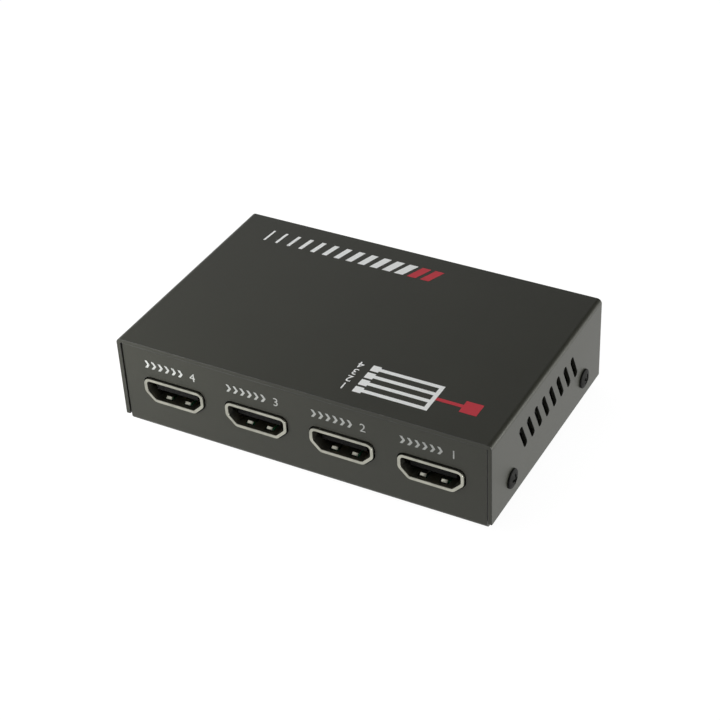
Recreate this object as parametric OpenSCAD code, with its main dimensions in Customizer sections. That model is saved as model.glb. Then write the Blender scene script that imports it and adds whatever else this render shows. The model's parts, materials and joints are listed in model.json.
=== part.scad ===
// One-in, four-out video splitter: a folded sheet-metal case with a socketed circuit board inside.
// The origin is under the middle of the case, on the surface that the feet stand on.
// +Z is up, the outputs face -Y, the input and the power jack face +Y.

/* [Case] */
// Width of the folded cover, across its vented sides
case_w = 92; // [86:1:110]
// Depth of the cover, from its front edge to its back edge
case_d = 59; // [56:1:76]
// Height from the underside of the tray to the top of the cover
case_h = 22.5; // [21:0.5:30]
// Thickness of the sheet metal
sheet_t = 1; // [0.8:0.1:1.2]
// Inside radius of every sheet bend
bend_in_r = 0.2; // [0.2:0.1:0.8]
// Gap between the edges of the tray and the inside of the cover
cover_gap = 0.2; // [0.1:0.05:0.4]
// How far the front and back panels sit behind the edges of the cover
panel_set = 0.3; // [0.1:0.1:0.8]
// Height of the lower edges of the cover above the underside of the tray
cover_lift = 1.6; // [1:0.1:2.4]

/* [Feet] */
// Diameter of a stick-on foot at its top
foot_d = 7; // [6:0.5:8]
// Height of a foot
foot_h = 1.5; // [1:0.1:3]
// Draft of a foot, taken off its radius at the bottom
foot_draft = 0.4; // [0:0.1:1]
// Distance from the middle of a foot to the sides of the cover
foot_in = 7; // [6:0.5:7.5]

/* [Vents] */
// Number of slots in each side
vent_count = 8; // [4:1:8]
// Distance between slots along the side
vent_pitch = 3.93; // [3:0.01:4.2]
// Width of a slot
vent_w = 1.7; // [1:0.1:2]
// Length of a slot along its own middle line, over its round ends
vent_l = 7.4; // [4:0.1:8]
// Lean of the slots from upright, in degrees, towards the front at the top
vent_lean = 26; // [0:1:35]
// Height of the middle of the slots above the underside of the tray
vent_mid = 13.9; // [12:0.1:15]

/* [Screws] */
// Radius of the thread of every screw
screw_r = 1.45; // [1.2:0.05:1.6]
// Radius of a screw's head
screw_head_r = 2.3; // [2.2:0.1:2.8]
// Height of a screw's head
screw_head_h = 1; // [0.8:0.1:1.6]
// Height of the straight rim under the dome of a head
screw_rim = 0.4; // [0.2:0.1:0.6]
// Length of the cross recess in a head, from end to end
recess_l = 2.8; // [2:0.1:3.4]
// Width of the cross recess
recess_w = 0.7; // [0.4:0.1:0.9]
// Depth of the cross recess
recess_depth = 0.6; // [0.3:0.1:0.7]
// Length of a cover screw under its head
cover_screw_l = 4; // [3.5:0.5:5]
// Length of a board screw under its head
board_screw_l = 5; // [4:0.5:6]
// Distance of the cover screws from the middle of the sides
cover_screw_y = 19.6; // [18:0.2:22]
// Height of the cover screws above the underside of the tray
cover_screw_h = 7; // [5.5:0.5:8]
// Clearance of a screw in a tapped hole
thread_gap = 0.05; // [0.02:0.01:0.1]
// Clearance of a screw in a plain hole
hole_gap = 0.25; // [0.15:0.05:0.4]
// Length of a screw ear along the side of the tray
ear_l = 9; // [8:0.5:10]
// Height of an ear above the middle of its screw hole
ear_top = 3.6; // [3:0.2:5]
// Width of the relief cuts beside the bend of an ear
ear_relief = 0.6; // [0.4:0.1:1]

/* [Board] */
// Thickness of the circuit board
board_t = 1.6; // [1:0.1:2]
// Radius of the corners of the board
board_corner_r = 1.5; // [0.5:0.5:3]
// Gap from the board to the front and back panels
board_end_gap = 1; // [0.5:0.1:2]
// Gap from the board to the tips of the cover screws
board_side_gap = 1; // [0.5:0.1:2]
// Height of the standoffs that carry the board
standoff_h = 5.4; // [4:0.2:6]
// Width of a standoff across its flats
standoff_flats = 5; // [4.6:0.1:6]
// Radius of the rivet end of a standoff, in the floor of the tray
rivet_r = 2.1; // [1.9:0.1:2.3]
// Clearance of a rivet end in the floor
rivet_gap = 0.02; // [0.01:0.01:0.05]
// Distance from the side of the board to the standoffs
standoff_side = 8; // [7:0.5:9]
// Gap from the row of coupling capacitors to the heads of the front board screws
standoff_row_gap = 0.5; // [0.3:0.1:2]
// Distance from the back of the board to the back standoffs
standoff_back = 6; // [5:0.5:7]
// Clearance around every leg that goes through the board
leg_gap = 0.25; // [0.15:0.05:0.3]
// Length of every leg under the board
leg_out = 0.8; // [0.5:0.1:1.5]

/* [Sockets] */
// Distance from the sides of the cover to the middles of the outer output sockets
port_side = 14.1; // [13.5:0.1:15]
// Place of the input socket along the back panel
input_x = 3; // [1:0.5:5]
// Inside width of a socket
mouth_w = 14; // [13.8:0.1:14.2]
// Inside height of a socket
mouth_h = 4.55; // [4.4:0.05:4.8]
// Leg of the cut lower corners of a socket
mouth_cut = 2.05; // [1.6:0.05:2.4]
// Inside radius of the corners of a socket
mouth_r = 0.8; // [0.2:0.1:0.9]
// Wall of the shell of a socket
shell_t = 0.3; // [0.2:0.05:0.4]
// Length of the shell of a socket
shell_l = 11.5; // [10.5:0.5:12.5]
// Depth of the rolled lip round the mouth
lip_l = 0.9; // [0.5:0.1:1]
// Width of the lip, out from the shell
lip_out = 0.45; // [0.2:0.05:0.6]
// Lead-in of the mouth, taken off the inner edge of the lip
lip_lead = 0.1; // [0.05:0.05:0.3]
// How far the sockets and the jack stand proud of the panels
lip_proud = 0.5; // [0.4:0.1:1]
// Clearance of a socket in its panel
socket_gap = 0.25; // [0.15:0.05:0.5]
// Width of a spring finger in the shell
finger_w = 1.5; // [1:0.1:1.8]
// Length of a spring finger
finger_l = 5; // [4:0.5:5.5]
// Rise of a finger into the socket
finger_rise = 0.5; // [0.2:0.05:0.6]
// Distance from the tip of a finger to its crest
finger_crest_l = 0.5; // [0.4:0.1:1.6]
// Rise of the tip of a finger
finger_tip_rise = 0.05; // [0.05:0.05:0.2]
// Gap between a finger and the window that it is cut from
finger_gap = 0.3; // [0.2:0.05:0.4]
// Distance from the mouth to the tips of the fingers
finger_in = 1.4; // [1.2:0.1:2]
// Distance of the fingers from the middle of the socket
finger_x = 2.5; // [2:0.1:3]
// Length of a leg of the shell along the socket
shell_leg_l = 1.5; // [1:0.1:2]
// Distances from the mouth to the front and back legs
shell_leg_y = [4.4, 9.6]; // [4:0.1:10]

/* [Contacts] */
// Contacts in the upper row of a socket, one more than in the lower row
contact_count = 10; // [6:1:10]
// Distance between the contacts of a row
contact_pitch = 1; // [0.9:0.05:1]
// Width of a contact
contact_w = 0.32; // [0.2:0.02:0.36]
// Thickness of a contact
contact_t = 0.2; // [0.15:0.05:0.25]
// Width of the tongue that carries the contacts
tongue_w = 10.9; // [10.5:0.1:11.5]
// Thickness of the tongue
tongue_t = 1.2; // [1:0.1:1.4]
// Height of the tongue above the middle of the socket
tongue_up = 0.2; // [0:0.1:0.4]
// Distance from the mouth to the end of the tongue
tongue_in = 1.6; // [1.2:0.1:2.5]
// Length of the block at the root of the tongue
tongue_block_l = 3; // [2:0.2:4]
// Clearance of the block in the shell
tongue_gap = 0.02; // [0.01:0.01:0.05]
// Distance from the block to the tails of the lower row
tail_gap = 0.2; // [0.1:0.05:0.4]
// Distance between the tails of the two rows
tail_step = 0.8; // [0.6:0.1:1]
// Length of the soldered foot of a contact
tail_foot = 1; // [0.6:0.1:1.4]

/* [Power jack] */
// Distance from the side of the cover to the middle of the jack
jack_side = 22; // [21:0.5:25]
// Width of the jack's housing
jack_w = 9; // [8.6:0.1:10]
// Height of the jack's housing
jack_h = 11; // [10:0.5:11.5]
// Length of the jack, with its nose
jack_l = 14; // [13.5:0.5:15]
// Height of the bore of the jack above the board
jack_axis_h = 6.5; // [6:0.1:6.6]
// Radius of the nose that fills the hole in the panel
jack_nose_r = 4; // [3.8:0.1:4.2]
// Gap from the housing to the back panel
jack_gap = 0.3; // [0.1:0.1:0.6]
// Radius of the bore that takes the plug
jack_bore_r = 3.15; // [3:0.05:3.3]
// Depth of the bore
jack_bore_l = 9.5; // [9:0.5:10]
// Radius of the centre pin
jack_pin_r = 1; // [0.8:0.05:1.25]
// Distance from the mouth of the bore to the tip of the pin
jack_pin_in = 1.5; // [1:0.1:2.5]
// Radius of the root of the pin, in the back wall of the housing
jack_root_r = 1.4; // [1.3:0.1:1.6]
// Clearance of the root of the pin in the housing
jack_pin_gap = 0.02; // [0.01:0.01:0.05]
// Radius of the rivet head behind the housing
jack_rivet_r = 2; // [1.8:0.1:2.2]
// Thickness of the jack's leaf, blades and rivet head
leaf_t = 0.4; // [0.3:0.05:0.5]
// Width of the leaf and of the blades
leaf_w = 2; // [1.6:0.1:2.4]
// Room on each side of the leaf and behind its root
leaf_room = 0.4; // [0.3:0.05:0.6]
// Inside radius of the bend at the root of the leaf
leaf_bend_r = 0.3; // [0.2:0.05:0.5]
// Distance from the mouth of the bore to the root of the leaf
leaf_root_in = 11.2; // [10.8:0.1:11.6]
// Drop of the root of the leaf below the bore's axis
leaf_root_drop = 4.6; // [4.4:0.1:4.8]
// Distance from the mouth of the bore to the crest of the leaf
leaf_crest_in = 4.5; // [4.2:0.1:5]
// Rise of the crest into the bore
leaf_rise = 0.5; // [0.3:0.05:0.6]
// Distance from the crest to the tip of the leaf
leaf_tip_l = 1.5; // [1:0.1:1.6]
// Drop from the crest to the tip
leaf_tip_drop = 0.7; // [0.4:0.1:0.9]
// Gap between the root of the leaf and its fixed blade
leaf_blade_gap = 0.1; // [0.05:0.05:0.2]

/* [Lights] */
// Distance from the middle of the input socket to the power light
light_first = 11; // [10.5:0.5:12]
// Distance between the lights
light_pitch = 5; // [4.2:0.1:5]
// Height of the lights above the board
light_h = 4.5; // [4:0.1:6]
// Radius of the lens of a light
light_r = 1.5; // [1.2:0.1:1.6]
// Length of a light, from its flange to the tip of its dome
light_l = 5.3; // [4.5:0.1:6]
// Thickness of the flange of a light
light_flange = 1; // [0.8:0.1:1.2]
// Extra radius of the flange
light_flange_out = 0.4; // [0.2:0.1:0.5]
// Clearance of a light in the panel
light_gap = 0.15; // [0.1:0.05:0.3]
// Thickness of a lead
lead_t = 0.5; // [0.4:0.05:0.6]
// Distance between the two leads of a light
lead_pitch = 2.54; // [2:0.02:2.6]
// Length of a lead behind the flange, as far as its bend
lead_back = 1.5; // [1:0.1:2]

/* [Board parts] */
// Width of the splitter chip
chip_w = 14; // [10:0.5:16]
// Height of the splitter chip
chip_h = 1; // [0.8:0.1:1.4]
// Thickness of the thermal pad on the chip
pad_t = 0.5; // [0.3:0.1:1]
// Width of the heat sink
sink_w = 20; // [16:0.5:20]
// Thickness of the base of the heat sink
sink_base = 1.5; // [1:0.1:2]
// Height of the fins
fin_h = 5; // [3:0.5:5]
// Number of fins
fin_count = 7; // [4:1:8]
// Thickness of a fin
fin_t = 1; // [0.6:0.1:1.2]
// Diameter of a filter capacitor
can_d = 6.3; // [5:0.1:6.5]
// Height of the can of a filter capacitor
can_h = 5.2; // [4:0.1:6]
// Height of the rolled neck above the foot of the can
can_neck_h = 1; // [0.8:0.1:1.4]
// Radius of the rolled neck
can_neck_r = 0.26; // [0.2:0.02:0.3]
// Height of the plastic base of a filter capacitor
can_base_h = 0.9; // [0.6:0.1:1.2]
// How far the base stands out past the can
can_base_out = 0.2; // [0.1:0.1:0.4]
// Leg of the two cut corners of the base
can_base_cut = 1.3; // [0.8:0.1:1.8]
// Gap from the board screw to the filter capacitors, and between the two
can_gap = 1.2; // [0.8:0.1:1.5]
// Width of the power inductor
coil_w = 7; // [5:0.1:7.5]
// Height of the power inductor
coil_h = 4.5; // [3:0.1:5]
// Thickness of the end plates of the inductor
coil_plate = 0.9; // [0.6:0.1:1.2]
// Radius of the corners of the end plates
coil_corner_r = 1.2; // [0.5:0.1:2]
// How far the winding sits inside the end plates
coil_waist = 0.45; // [0.2:0.05:1]
// Distance from the side of the board to the middle of the inductor
coil_side = 21; // [20.5:0.5:22]
// Length of the crystal's can
crystal_l = 10.2; // [9:0.1:11]
// Width of the crystal's can
crystal_w = 3.8; // [3:0.1:4.2]
// Height of the crystal
crystal_h = 3.5; // [2:0.1:4]
// Width and height of the brim of the crystal's can
crystal_brim = 0.4; // [0.2:0.1:0.6]
// Distance from the side of the board to the middle of the crystal
crystal_side = 21; // [20:0.5:22]
// Length of the memory chip
memory_l = 5; // [4:0.1:6]
// Width of the memory chip
memory_w = 4; // [3:0.1:4.5]
// Height of the memory chip
memory_h = 1.4; // [1:0.1:1.8]
// Leads on each side of the memory chip
memory_lead_count = 4; // [2:1:4]
// Distance between the leads of the memory chip
memory_lead_pitch = 1.27; // [0.8:0.01:1.27]
// Width of a lead of the memory chip
memory_lead_w = 0.4; // [0.2:0.05:0.5]
// Thickness of a lead of the memory chip
memory_lead_t = 0.2; // [0.1:0.05:0.3]
// Reach of a lead out from the memory chip
memory_lead_l = 1; // [0.7:0.1:1.4]
// Distance from the side of the board to the middle of the memory chip
memory_side = 20; // [18:0.5:22]
// Width of the power regulator
regulator_w = 6.5; // [5:0.1:7]
// Height of the power regulator
regulator_h = 2.4; // [1.6:0.1:2.6]
// Thickness of the tab under the regulator, and of its leads
regulator_tab_t = 0.5; // [0.3:0.1:0.6]
// Reach of the tab behind the regulator
regulator_tab_l = 1.9; // [1:0.1:2.4]
// Distance from the sides of the regulator to the edges of the tab
regulator_tab_in = 0.5; // [0.3:0.1:1]
// Distance of the two leads from the middle of the regulator
regulator_lead_x = 2.2; // [1.6:0.1:2.2]
// Width of a lead of the regulator
regulator_lead_w = 0.8; // [0.5:0.1:1]
// Reach of a lead out from the regulator
regulator_lead_l = 2.2; // [1.6:0.1:2.6]
// Distance from the side of the board to the middle of the regulator
regulator_side = 10; // [8:0.5:11]
// Length of a small chip capacitor
passive_l = 1; // [0.6:0.1:1.2]
// Width and height of a small chip capacitor
passive_w = 0.5; // [0.3:0.05:0.6]
// Coupling capacitors behind each output socket
coupling_count = 4; // [2:1:5]
// Distance between the coupling capacitors
coupling_pitch = 2; // [1:0.1:2.4]
// Gap from the soldered feet of the contacts to the coupling capacitors
coupling_gap = 1.5; // [0.5:0.1:2]
// Capacitors in the row beside the chip
bypass_count = 6; // [2:1:7]
// Distance between the capacitors of that row
bypass_pitch = 3; // [1.5:0.1:3]

/* [Hidden] */
$fn = 64;
eps = 0.01;
cut_over = 1;
corner_steps = 6;
bend_out_r = bend_in_r + sheet_t;

// Levels, from the feet up
tray_z = foot_h;
floor_z = tray_z + sheet_t;
board_z = floor_z + standoff_h;
board_top = board_z + board_t;
leg_z = board_z - leg_out;
socket_z = board_top + mouth_h / 2 + shell_t;
jack_z = board_top + jack_axis_h;
light_z = board_top + light_h;
case_top = tray_z + case_h;

// Extents of the tray and the board
tray_w = case_w - 2 * (sheet_t + cover_gap);
tray_d = case_d - 2 * panel_set;
panel_h = case_h - sheet_t - cover_gap;
panel_y = tray_d / 2;
mouth_y = panel_y + lip_proud;
board_w = case_w - 2 * (cover_screw_l + board_side_gap);
board_d = tray_d - 2 * (sheet_t + board_end_gap);
foot_x = case_w / 2 - foot_in;
foot_y = case_d / 2 - foot_in;
foot_spots = [[-foot_x, -foot_y], [foot_x, -foot_y], [foot_x, foot_y], [-foot_x, foot_y]];

// Sockets and contacts
output_count = 4;
port_pitch = (case_w - 2 * port_side) / (output_count - 1);
board_under = -mouth_h / 2 - shell_t;
block_back = shell_l - tongue_gap;
block_front = shell_l - tongue_block_l;
tongue_top = tongue_up + tongue_t / 2;
tongue_bottom = tongue_up - tongue_t / 2;
lower_tail = block_back + tail_gap;
upper_tail = lower_tail + tail_step;

// Row of coupling capacitors behind the outputs, and the standoffs behind that row
coupling_row_y = upper_tail + tail_foot + coupling_gap + passive_l / 2 - mouth_y;
standoff_x = board_w / 2 - standoff_side;
standoff_front_y = coupling_row_y + passive_l / 2 + standoff_row_gap + screw_head_r;
standoff_spots = [
    for (x = [-standoff_x, standoff_x])
        for (y = [standoff_front_y, board_d / 2 - standoff_back])
            [x, y]
];

// Power jack, measured from the middle of its mouth
jack_x = case_w / 2 - jack_side;
nose_l = lip_proud + sheet_t + jack_gap;
leaf_bend_out_r = leaf_bend_r + leaf_t;
leaf_root = [-leaf_root_in, -leaf_root_drop];
leaf_crest = [-leaf_crest_in, -jack_bore_r + leaf_rise];
leaf_tip = leaf_crest + [leaf_tip_l, -leaf_tip_drop];
jack_leg_z = leg_z - jack_z;

// Places of the board parts
chip_at = [0, -1];
coil_at = [board_w / 2 - coil_side, 4];
regulator_at = [board_w / 2 - regulator_side, 4];
can_step = can_d + 2 * can_base_out + can_gap;
can_x = standoff_x - screw_head_r - can_step + can_d / 2 + can_base_out;
can_spots = [[can_x - can_step, -7.5], [can_x, -7.5]];
crystal_at = [crystal_side - board_w / 2, -8];
memory_at = [memory_side - board_w / 2, 2];
bypass_at = [-8, 10];

case_black = "#2d2e2c";
shell_silver = "#b5ae9e";
plastic_black = "#161616";
contact_gold = "#c8a24a";
tin_silver = "#a9abad";
board_green = "#1d5a35";

// Flat outlines

function unit(v) = v / norm(v);

// Points of the arc that rounds corner b of a counter-clockwise outline, between neighbours a and c
function corner_arc(a, b, c, r) =
    let (
        u = unit(a - b),
        v = unit(c - b),
        half = acos(u * v) / 2,
        middle = b + unit(u + v) * r / sin(half),
        from = b + u * r / tan(half) - middle
    )
    [
        for (k = [0 : corner_steps])
            let (turn = k / corner_steps * (180 - 2 * half))
            middle + [
                from[0] * cos(turn) - from[1] * sin(turn),
                from[0] * sin(turn) + from[1] * cos(turn)
            ]
    ];

function rounded(points, r) =
    let (last = len(points) - 1)
    [
        for (i = [0 : last])
            each corner_arc(points[i == 0 ? last : i - 1], points[i], points[i == last ? 0 : i + 1], r)
    ];

// Outline of a socket with its two cut lower corners, grown evenly by out
function socket_points(out) =
    let (
        x = mouth_w / 2 + out,
        z = mouth_h / 2 + out,
        cut = mouth_cut + (2 - sqrt(2)) * out
    )
    rounded(
        [[x, z], [-x, z], [-x, cut - z], [cut - x, -z], [x - cut, -z], [x, cut - z]],
        mouth_r + out
    );

module round_bottomed(w, h, r) {
    translate([-w / 2, r])
        square([w, h - r]);
    translate([r - w / 2, 0])
        square([w - 2 * r, h]);
    for (x = [r - w / 2, w / 2 - r])
        translate([x, r])
            circle(r);
}

// Section of a sheet that is folded up along two edges
module folded_section(w, h) {
    difference() {
        round_bottomed(w, h, bend_out_r);
        translate([0, sheet_t])
            round_bottomed(w - 2 * sheet_t, h, bend_in_r);
    }
}

module long_hole_section(l, w) {
    square([w, l - w], center = true);
    for (y = [w / 2 - l / 2, l / 2 - w / 2])
        translate([0, y])
            circle(w / 2);
}

module round_cornered_section(w, d, r) {
    square([w - 2 * r, d], center = true);
    square([w, d - 2 * r], center = true);
    for (x = [r - w / 2, w / 2 - r])
        for (y = [r - d / 2, d / 2 - r])
            translate([x, y])
                circle(r);
}

// Runs a section that is drawn across Y and up Z along X, centred
module along_x(l) {
    rotate([90, 0, 90])
        linear_extrude(l, center = true)
            children();
}

// Runs a section that is drawn across X and up Z along Y, centred
module along_y(l) {
    rotate([90, 0, 0])
        linear_extrude(l, center = true)
            children();
}

// Runs a section that is drawn across X and up Z from one depth to another, along Y
module from_to_y(from, to) {
    translate([0, to, 0])
        rotate([90, 0, 0])
            linear_extrude(to - from)
                children();
}

// Block between two corners
module block(low, high) {
    translate(low)
        cube(high - low);
}

// Places of the connectors

function output_x(i) = case_w / 2 - port_side - (i - 1) * port_pitch;

// The power light is number 0, and the output lights go on from it
function light_x(i) = input_x - light_first - i * light_pitch;

// Place of item i of a row of a given count, measured from the middle of the row
function in_row(i, count, pitch) = (i - (count - 1) / 2) * pitch;

module at_output(i) {
    translate([output_x(i), -mouth_y, socket_z])
        children();
}

module at_input() {
    translate([input_x, mouth_y, socket_z])
        rotate([0, 0, 180])
            children();
}

module at_every_socket() {
    for (i = [1 : output_count])
        at_output(i)
            children();
    at_input()
        children();
}

module at_jack() {
    translate([jack_x, mouth_y, jack_z])
        children();
}

module at_light(i) {
    translate([light_x(i), mouth_y, light_z])
        children();
}

module at_cover_screws() {
    for (side = [0, 180])
        for (y = [-cover_screw_y, cover_screw_y])
            rotate([0, 0, side])
                translate([case_w / 2, y, tray_z + cover_screw_h])
                    rotate([0, 90, 0])
                        children();
}

module at_standoffs() {
    for (spot = standoff_spots)
        translate(spot)
            children();
}

module on_board(spot) {
    translate([spot[0], spot[1], board_top])
        children();
}

// Screws and standoffs

// Screw along Z with the underside of its domed head at zero
module pan_screw(l) {
    dome_h = screw_head_h - screw_rim;
    dome_r = (screw_head_r ^ 2 + dome_h ^ 2) / (2 * dome_h);
    difference() {
        rotate_extrude()
            intersection() {
                translate([0, screw_head_h - dome_r])
                    circle(dome_r);
                square([screw_head_r, screw_head_h]);
            }
        for (turn = [0, 90])
            rotate([0, 0, turn])
                block(
                    [-recess_l / 2, -recess_w / 2, screw_head_h - recess_depth],
                    [recess_l / 2, recess_w / 2, screw_head_h + cut_over]
                );
    }
    translate([0, 0, -l])
        cylinder(h = l + screw_rim / 2, r = screw_r);
}

module cover_screws() {
    color("#1b1b1a")
        at_cover_screws()
            pan_screw(cover_screw_l);
}

module board_screws() {
    color(tin_silver)
        at_standoffs()
            translate([0, 0, board_top])
                pan_screw(board_screw_l);
}

module board_standoffs() {
    color("#c2a560")
        at_standoffs()
            difference() {
                union() {
                    translate([0, 0, floor_z])
                        cylinder(h = standoff_h, d = standoff_flats / cos(30), $fn = 6);
                    translate([0, 0, tray_z])
                        cylinder(h = sheet_t + standoff_h / 2, r = rivet_r);
                }
                translate([0, 0, tray_z - cut_over])
                    cylinder(h = board_z - tray_z + 2 * cut_over, r = screw_r + thread_gap);
            }
}

// Case

module base_tray() {
    ear_h = cover_screw_h + ear_top;
    color(case_black)
        difference() {
            union() {
                difference() {
                    translate([0, 0, tray_z])
                        along_x(tray_w)
                            folded_section(tray_d, panel_h);
                    for (y = [-cover_screw_y, cover_screw_y])
                        for (side = [0, 180])
                            rotate([0, 0, side])
                                translate([tray_w / 2, y, tray_z])
                                    block(
                                        [-bend_out_r - ear_relief, -ear_l / 2 - ear_relief, -cut_over],
                                        [cut_over, ear_l / 2 + ear_relief, sheet_t + cut_over]
                                    );
                }
                for (y = [-cover_screw_y, cover_screw_y])
                    translate([0, y, tray_z])
                        along_y(ear_l)
                            folded_section(tray_w, ear_h);
            }
            at_every_socket()
                from_to_y(lip_proud - cut_over, lip_proud + sheet_t + cut_over)
                    polygon(socket_points(shell_t + lip_out + socket_gap));
            at_jack()
                rotate([90, 0, 0])
                    cylinder(h = nose_l + cut_over, r = jack_nose_r + socket_gap);
            for (i = [0 : output_count])
                at_light(i)
                    rotate([90, 0, 0])
                        cylinder(h = nose_l + cut_over, r = light_r + light_gap);
            at_standoffs()
                translate([0, 0, tray_z - cut_over])
                    cylinder(h = sheet_t + 2 * cut_over, r = rivet_r + rivet_gap);
            at_cover_screws()
                translate([0, 0, -cover_screw_l])
                    cylinder(h = cover_screw_l, r = screw_r + thread_gap);
        }
}

module top_cover() {
    color(case_black)
        difference() {
            translate([0, 0, case_top])
                mirror([0, 0, 1])
                    along_y(case_d)
                        folded_section(case_w, case_h - cover_lift);
            translate([0, 0, tray_z + vent_mid])
                along_x(case_w + 2 * cut_over)
                    for (i = [0 : vent_count - 1])
                        translate([in_row(i, vent_count, vent_pitch), 0])
                            rotate(vent_lean)
                                long_hole_section(vent_l, vent_w);
            at_cover_screws()
                translate([0, 0, -sheet_t - cut_over])
                    cylinder(h = sheet_t + 2 * cut_over, r = screw_r + hole_gap);
        }
}

module rubber_foot(i) {
    color("#3a3a3a")
        translate(foot_spots[i - 1])
            cylinder(h = foot_h, d1 = foot_d - 2 * foot_draft, d2 = foot_d);
}

// Circuit board

// Hole through the board for a leg of a given size
module leg_hole(x, y, w, d) {
    translate([x, y, board_z - cut_over])
        linear_extrude(board_t + 2 * cut_over)
            square([w + 2 * leg_gap, d + 2 * leg_gap], center = true);
}

module main_board() {
    color(board_green)
        difference() {
            translate([0, 0, board_z])
                linear_extrude(board_t)
                    round_cornered_section(board_w, board_d, board_corner_r);
            at_standoffs()
                translate([0, 0, board_z - cut_over])
                    cylinder(h = board_t + 2 * cut_over, r = screw_r + hole_gap);
            at_every_socket()
                translate([0, 0, -socket_z])
                    for (x = [-1, 1])
                        for (y = shell_leg_y)
                            leg_hole(x * (mouth_w + shell_t) / 2, y, shell_t, shell_leg_l);
            translate([jack_x, mouth_y, 0]) {
                leg_hole(0, leaf_root[0] - leaf_bend_r - leaf_t / 2, leaf_w, leaf_t);
                leg_hole(0, -jack_l - leaf_t / 2, leaf_w, leaf_t);
            }
            for (i = [0 : output_count])
                for (x = [-lead_pitch / 2, lead_pitch / 2])
                    translate([light_x(i), mouth_y, 0])
                        leg_hole(x, -light_l - lead_back + lead_t / 2, lead_t, lead_t);
        }
}

// Video sockets, each drawn with its mouth at y = 0 and its depth along +Y

// Strip of the shell wall that is bent up into the socket, on the lower wall
module spring_finger() {
    root = finger_in + finger_l;
    crest = finger_in + finger_crest_l;
    rotate([90, 0, 90])
        linear_extrude(finger_w, center = true)
            polygon([
                [root + finger_gap, 0], [root, 0], [crest, finger_rise], [finger_in, finger_tip_rise],
                [finger_in, finger_tip_rise - shell_t], [crest, finger_rise - shell_t],
                [root, -shell_t], [root + finger_gap, -shell_t]
            ]);
}

module finger_window() {
    block(
        [-finger_w / 2 - finger_gap, finger_in - finger_gap, -shell_t - cut_over],
        [finger_w / 2 + finger_gap, finger_in + finger_l, cut_over]
    );
}

module at_fingers() {
    for (x = [-finger_x, finger_x])
        for (up = [0, 1])
            mirror([0, 0, up])
                translate([x, 0, -mouth_h / 2])
                    children();
}

// Chamfer that widens the opening towards the mouth and runs out just past it
module mouth_lead() {
    grown = lip_lead + eps;
    translate([0, lip_lead, 0])
        rotate([90, 0, 0])
            linear_extrude(
                grown,
                scale = [1 + 2 * grown / mouth_w, 1 + 2 * grown / mouth_h],
                slices = 1
            )
                polygon(socket_points(0));
}

module socket_shell() {
    leg_low = leg_z - socket_z;
    color(shell_silver) {
        difference() {
            union() {
                from_to_y(0, shell_l)
                    polygon(socket_points(shell_t));
                from_to_y(0, lip_l)
                    polygon(socket_points(shell_t + lip_out));
                for (x = [-mouth_w / 2 - shell_t, mouth_w / 2])
                    for (y = shell_leg_y)
                        block([x, y - shell_leg_l / 2, leg_low], [x + shell_t, y + shell_leg_l / 2, 0]);
            }
            from_to_y(-cut_over, shell_l + cut_over)
                polygon(socket_points(0));
            mouth_lead();
            at_fingers()
                finger_window();
        }
        at_fingers()
            spring_finger();
    }
}

// Contact in the upper row, from its end on the tongue to its soldered foot on the board
module upper_contact() {
    strip_top = tongue_top + contact_t / 2;
    w = contact_w / 2;
    block([-w, tongue_in + contact_t, strip_top - contact_t], [w, upper_tail + contact_t, strip_top]);
    block([-w, upper_tail, board_under], [w, upper_tail + contact_t, strip_top]);
    block([-w, upper_tail, board_under], [w, upper_tail + tail_foot, board_under + contact_t]);
}

// Contact in the lower row
module lower_contact() {
    strip_top = tongue_bottom + contact_t / 2;
    w = contact_w / 2;
    block([-w, tongue_in + contact_t, strip_top - contact_t], [w, lower_tail + contact_t, strip_top]);
    block([-w, lower_tail, board_under], [w, lower_tail + contact_t, strip_top]);
    block([-w, lower_tail, board_under], [w, lower_tail + tail_foot, board_under + contact_t]);
}

module socket_contacts() {
    color(contact_gold) {
        for (i = [0 : contact_count - 1])
            translate([in_row(i, contact_count, contact_pitch), 0, 0])
                upper_contact();
        for (i = [0 : contact_count - 2])
            translate([in_row(i, contact_count - 1, contact_pitch), 0, 0])
                lower_contact();
    }
}

module socket_tongue() {
    color(plastic_black)
        difference() {
            union() {
                from_to_y(block_front, block_back)
                    polygon(socket_points(-tongue_gap));
                block(
                    [-tongue_w / 2, tongue_in, tongue_bottom],
                    [tongue_w / 2, block_back, tongue_top]
                );
            }
            socket_contacts();
        }
}

// Power jack, drawn with the middle of its mouth at the origin and its depth along -Y

module dc_jack_housing() {
    slot_w = leaf_w + 2 * leaf_room;
    slot_back = leaf_root[0] - leaf_bend_out_r - leaf_room;
    slot_front = leaf_tip[0] + leaf_room;
    slot_top = -sqrt(jack_bore_r ^ 2 - (slot_w / 2) ^ 2);
    color(plastic_black)
        at_jack()
            difference() {
                union() {
                    block([-jack_w / 2, -jack_l, -jack_axis_h], [jack_w / 2, -nose_l, jack_h - jack_axis_h]);
                    rotate([90, 0, 0])
                        cylinder(h = nose_l + eps, r = jack_nose_r);
                }
                rotate([90, 0, 0])
                    translate([0, 0, -cut_over])
                        cylinder(h = jack_bore_l + cut_over, r = jack_bore_r);
                rotate([90, 0, 0])
                    cylinder(h = jack_l + cut_over, r = jack_root_r + jack_pin_gap);
                block(
                    [-slot_w / 2, slot_back, -jack_axis_h - cut_over],
                    [slot_w / 2, slot_front, slot_top]
                );
            }
}

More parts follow.
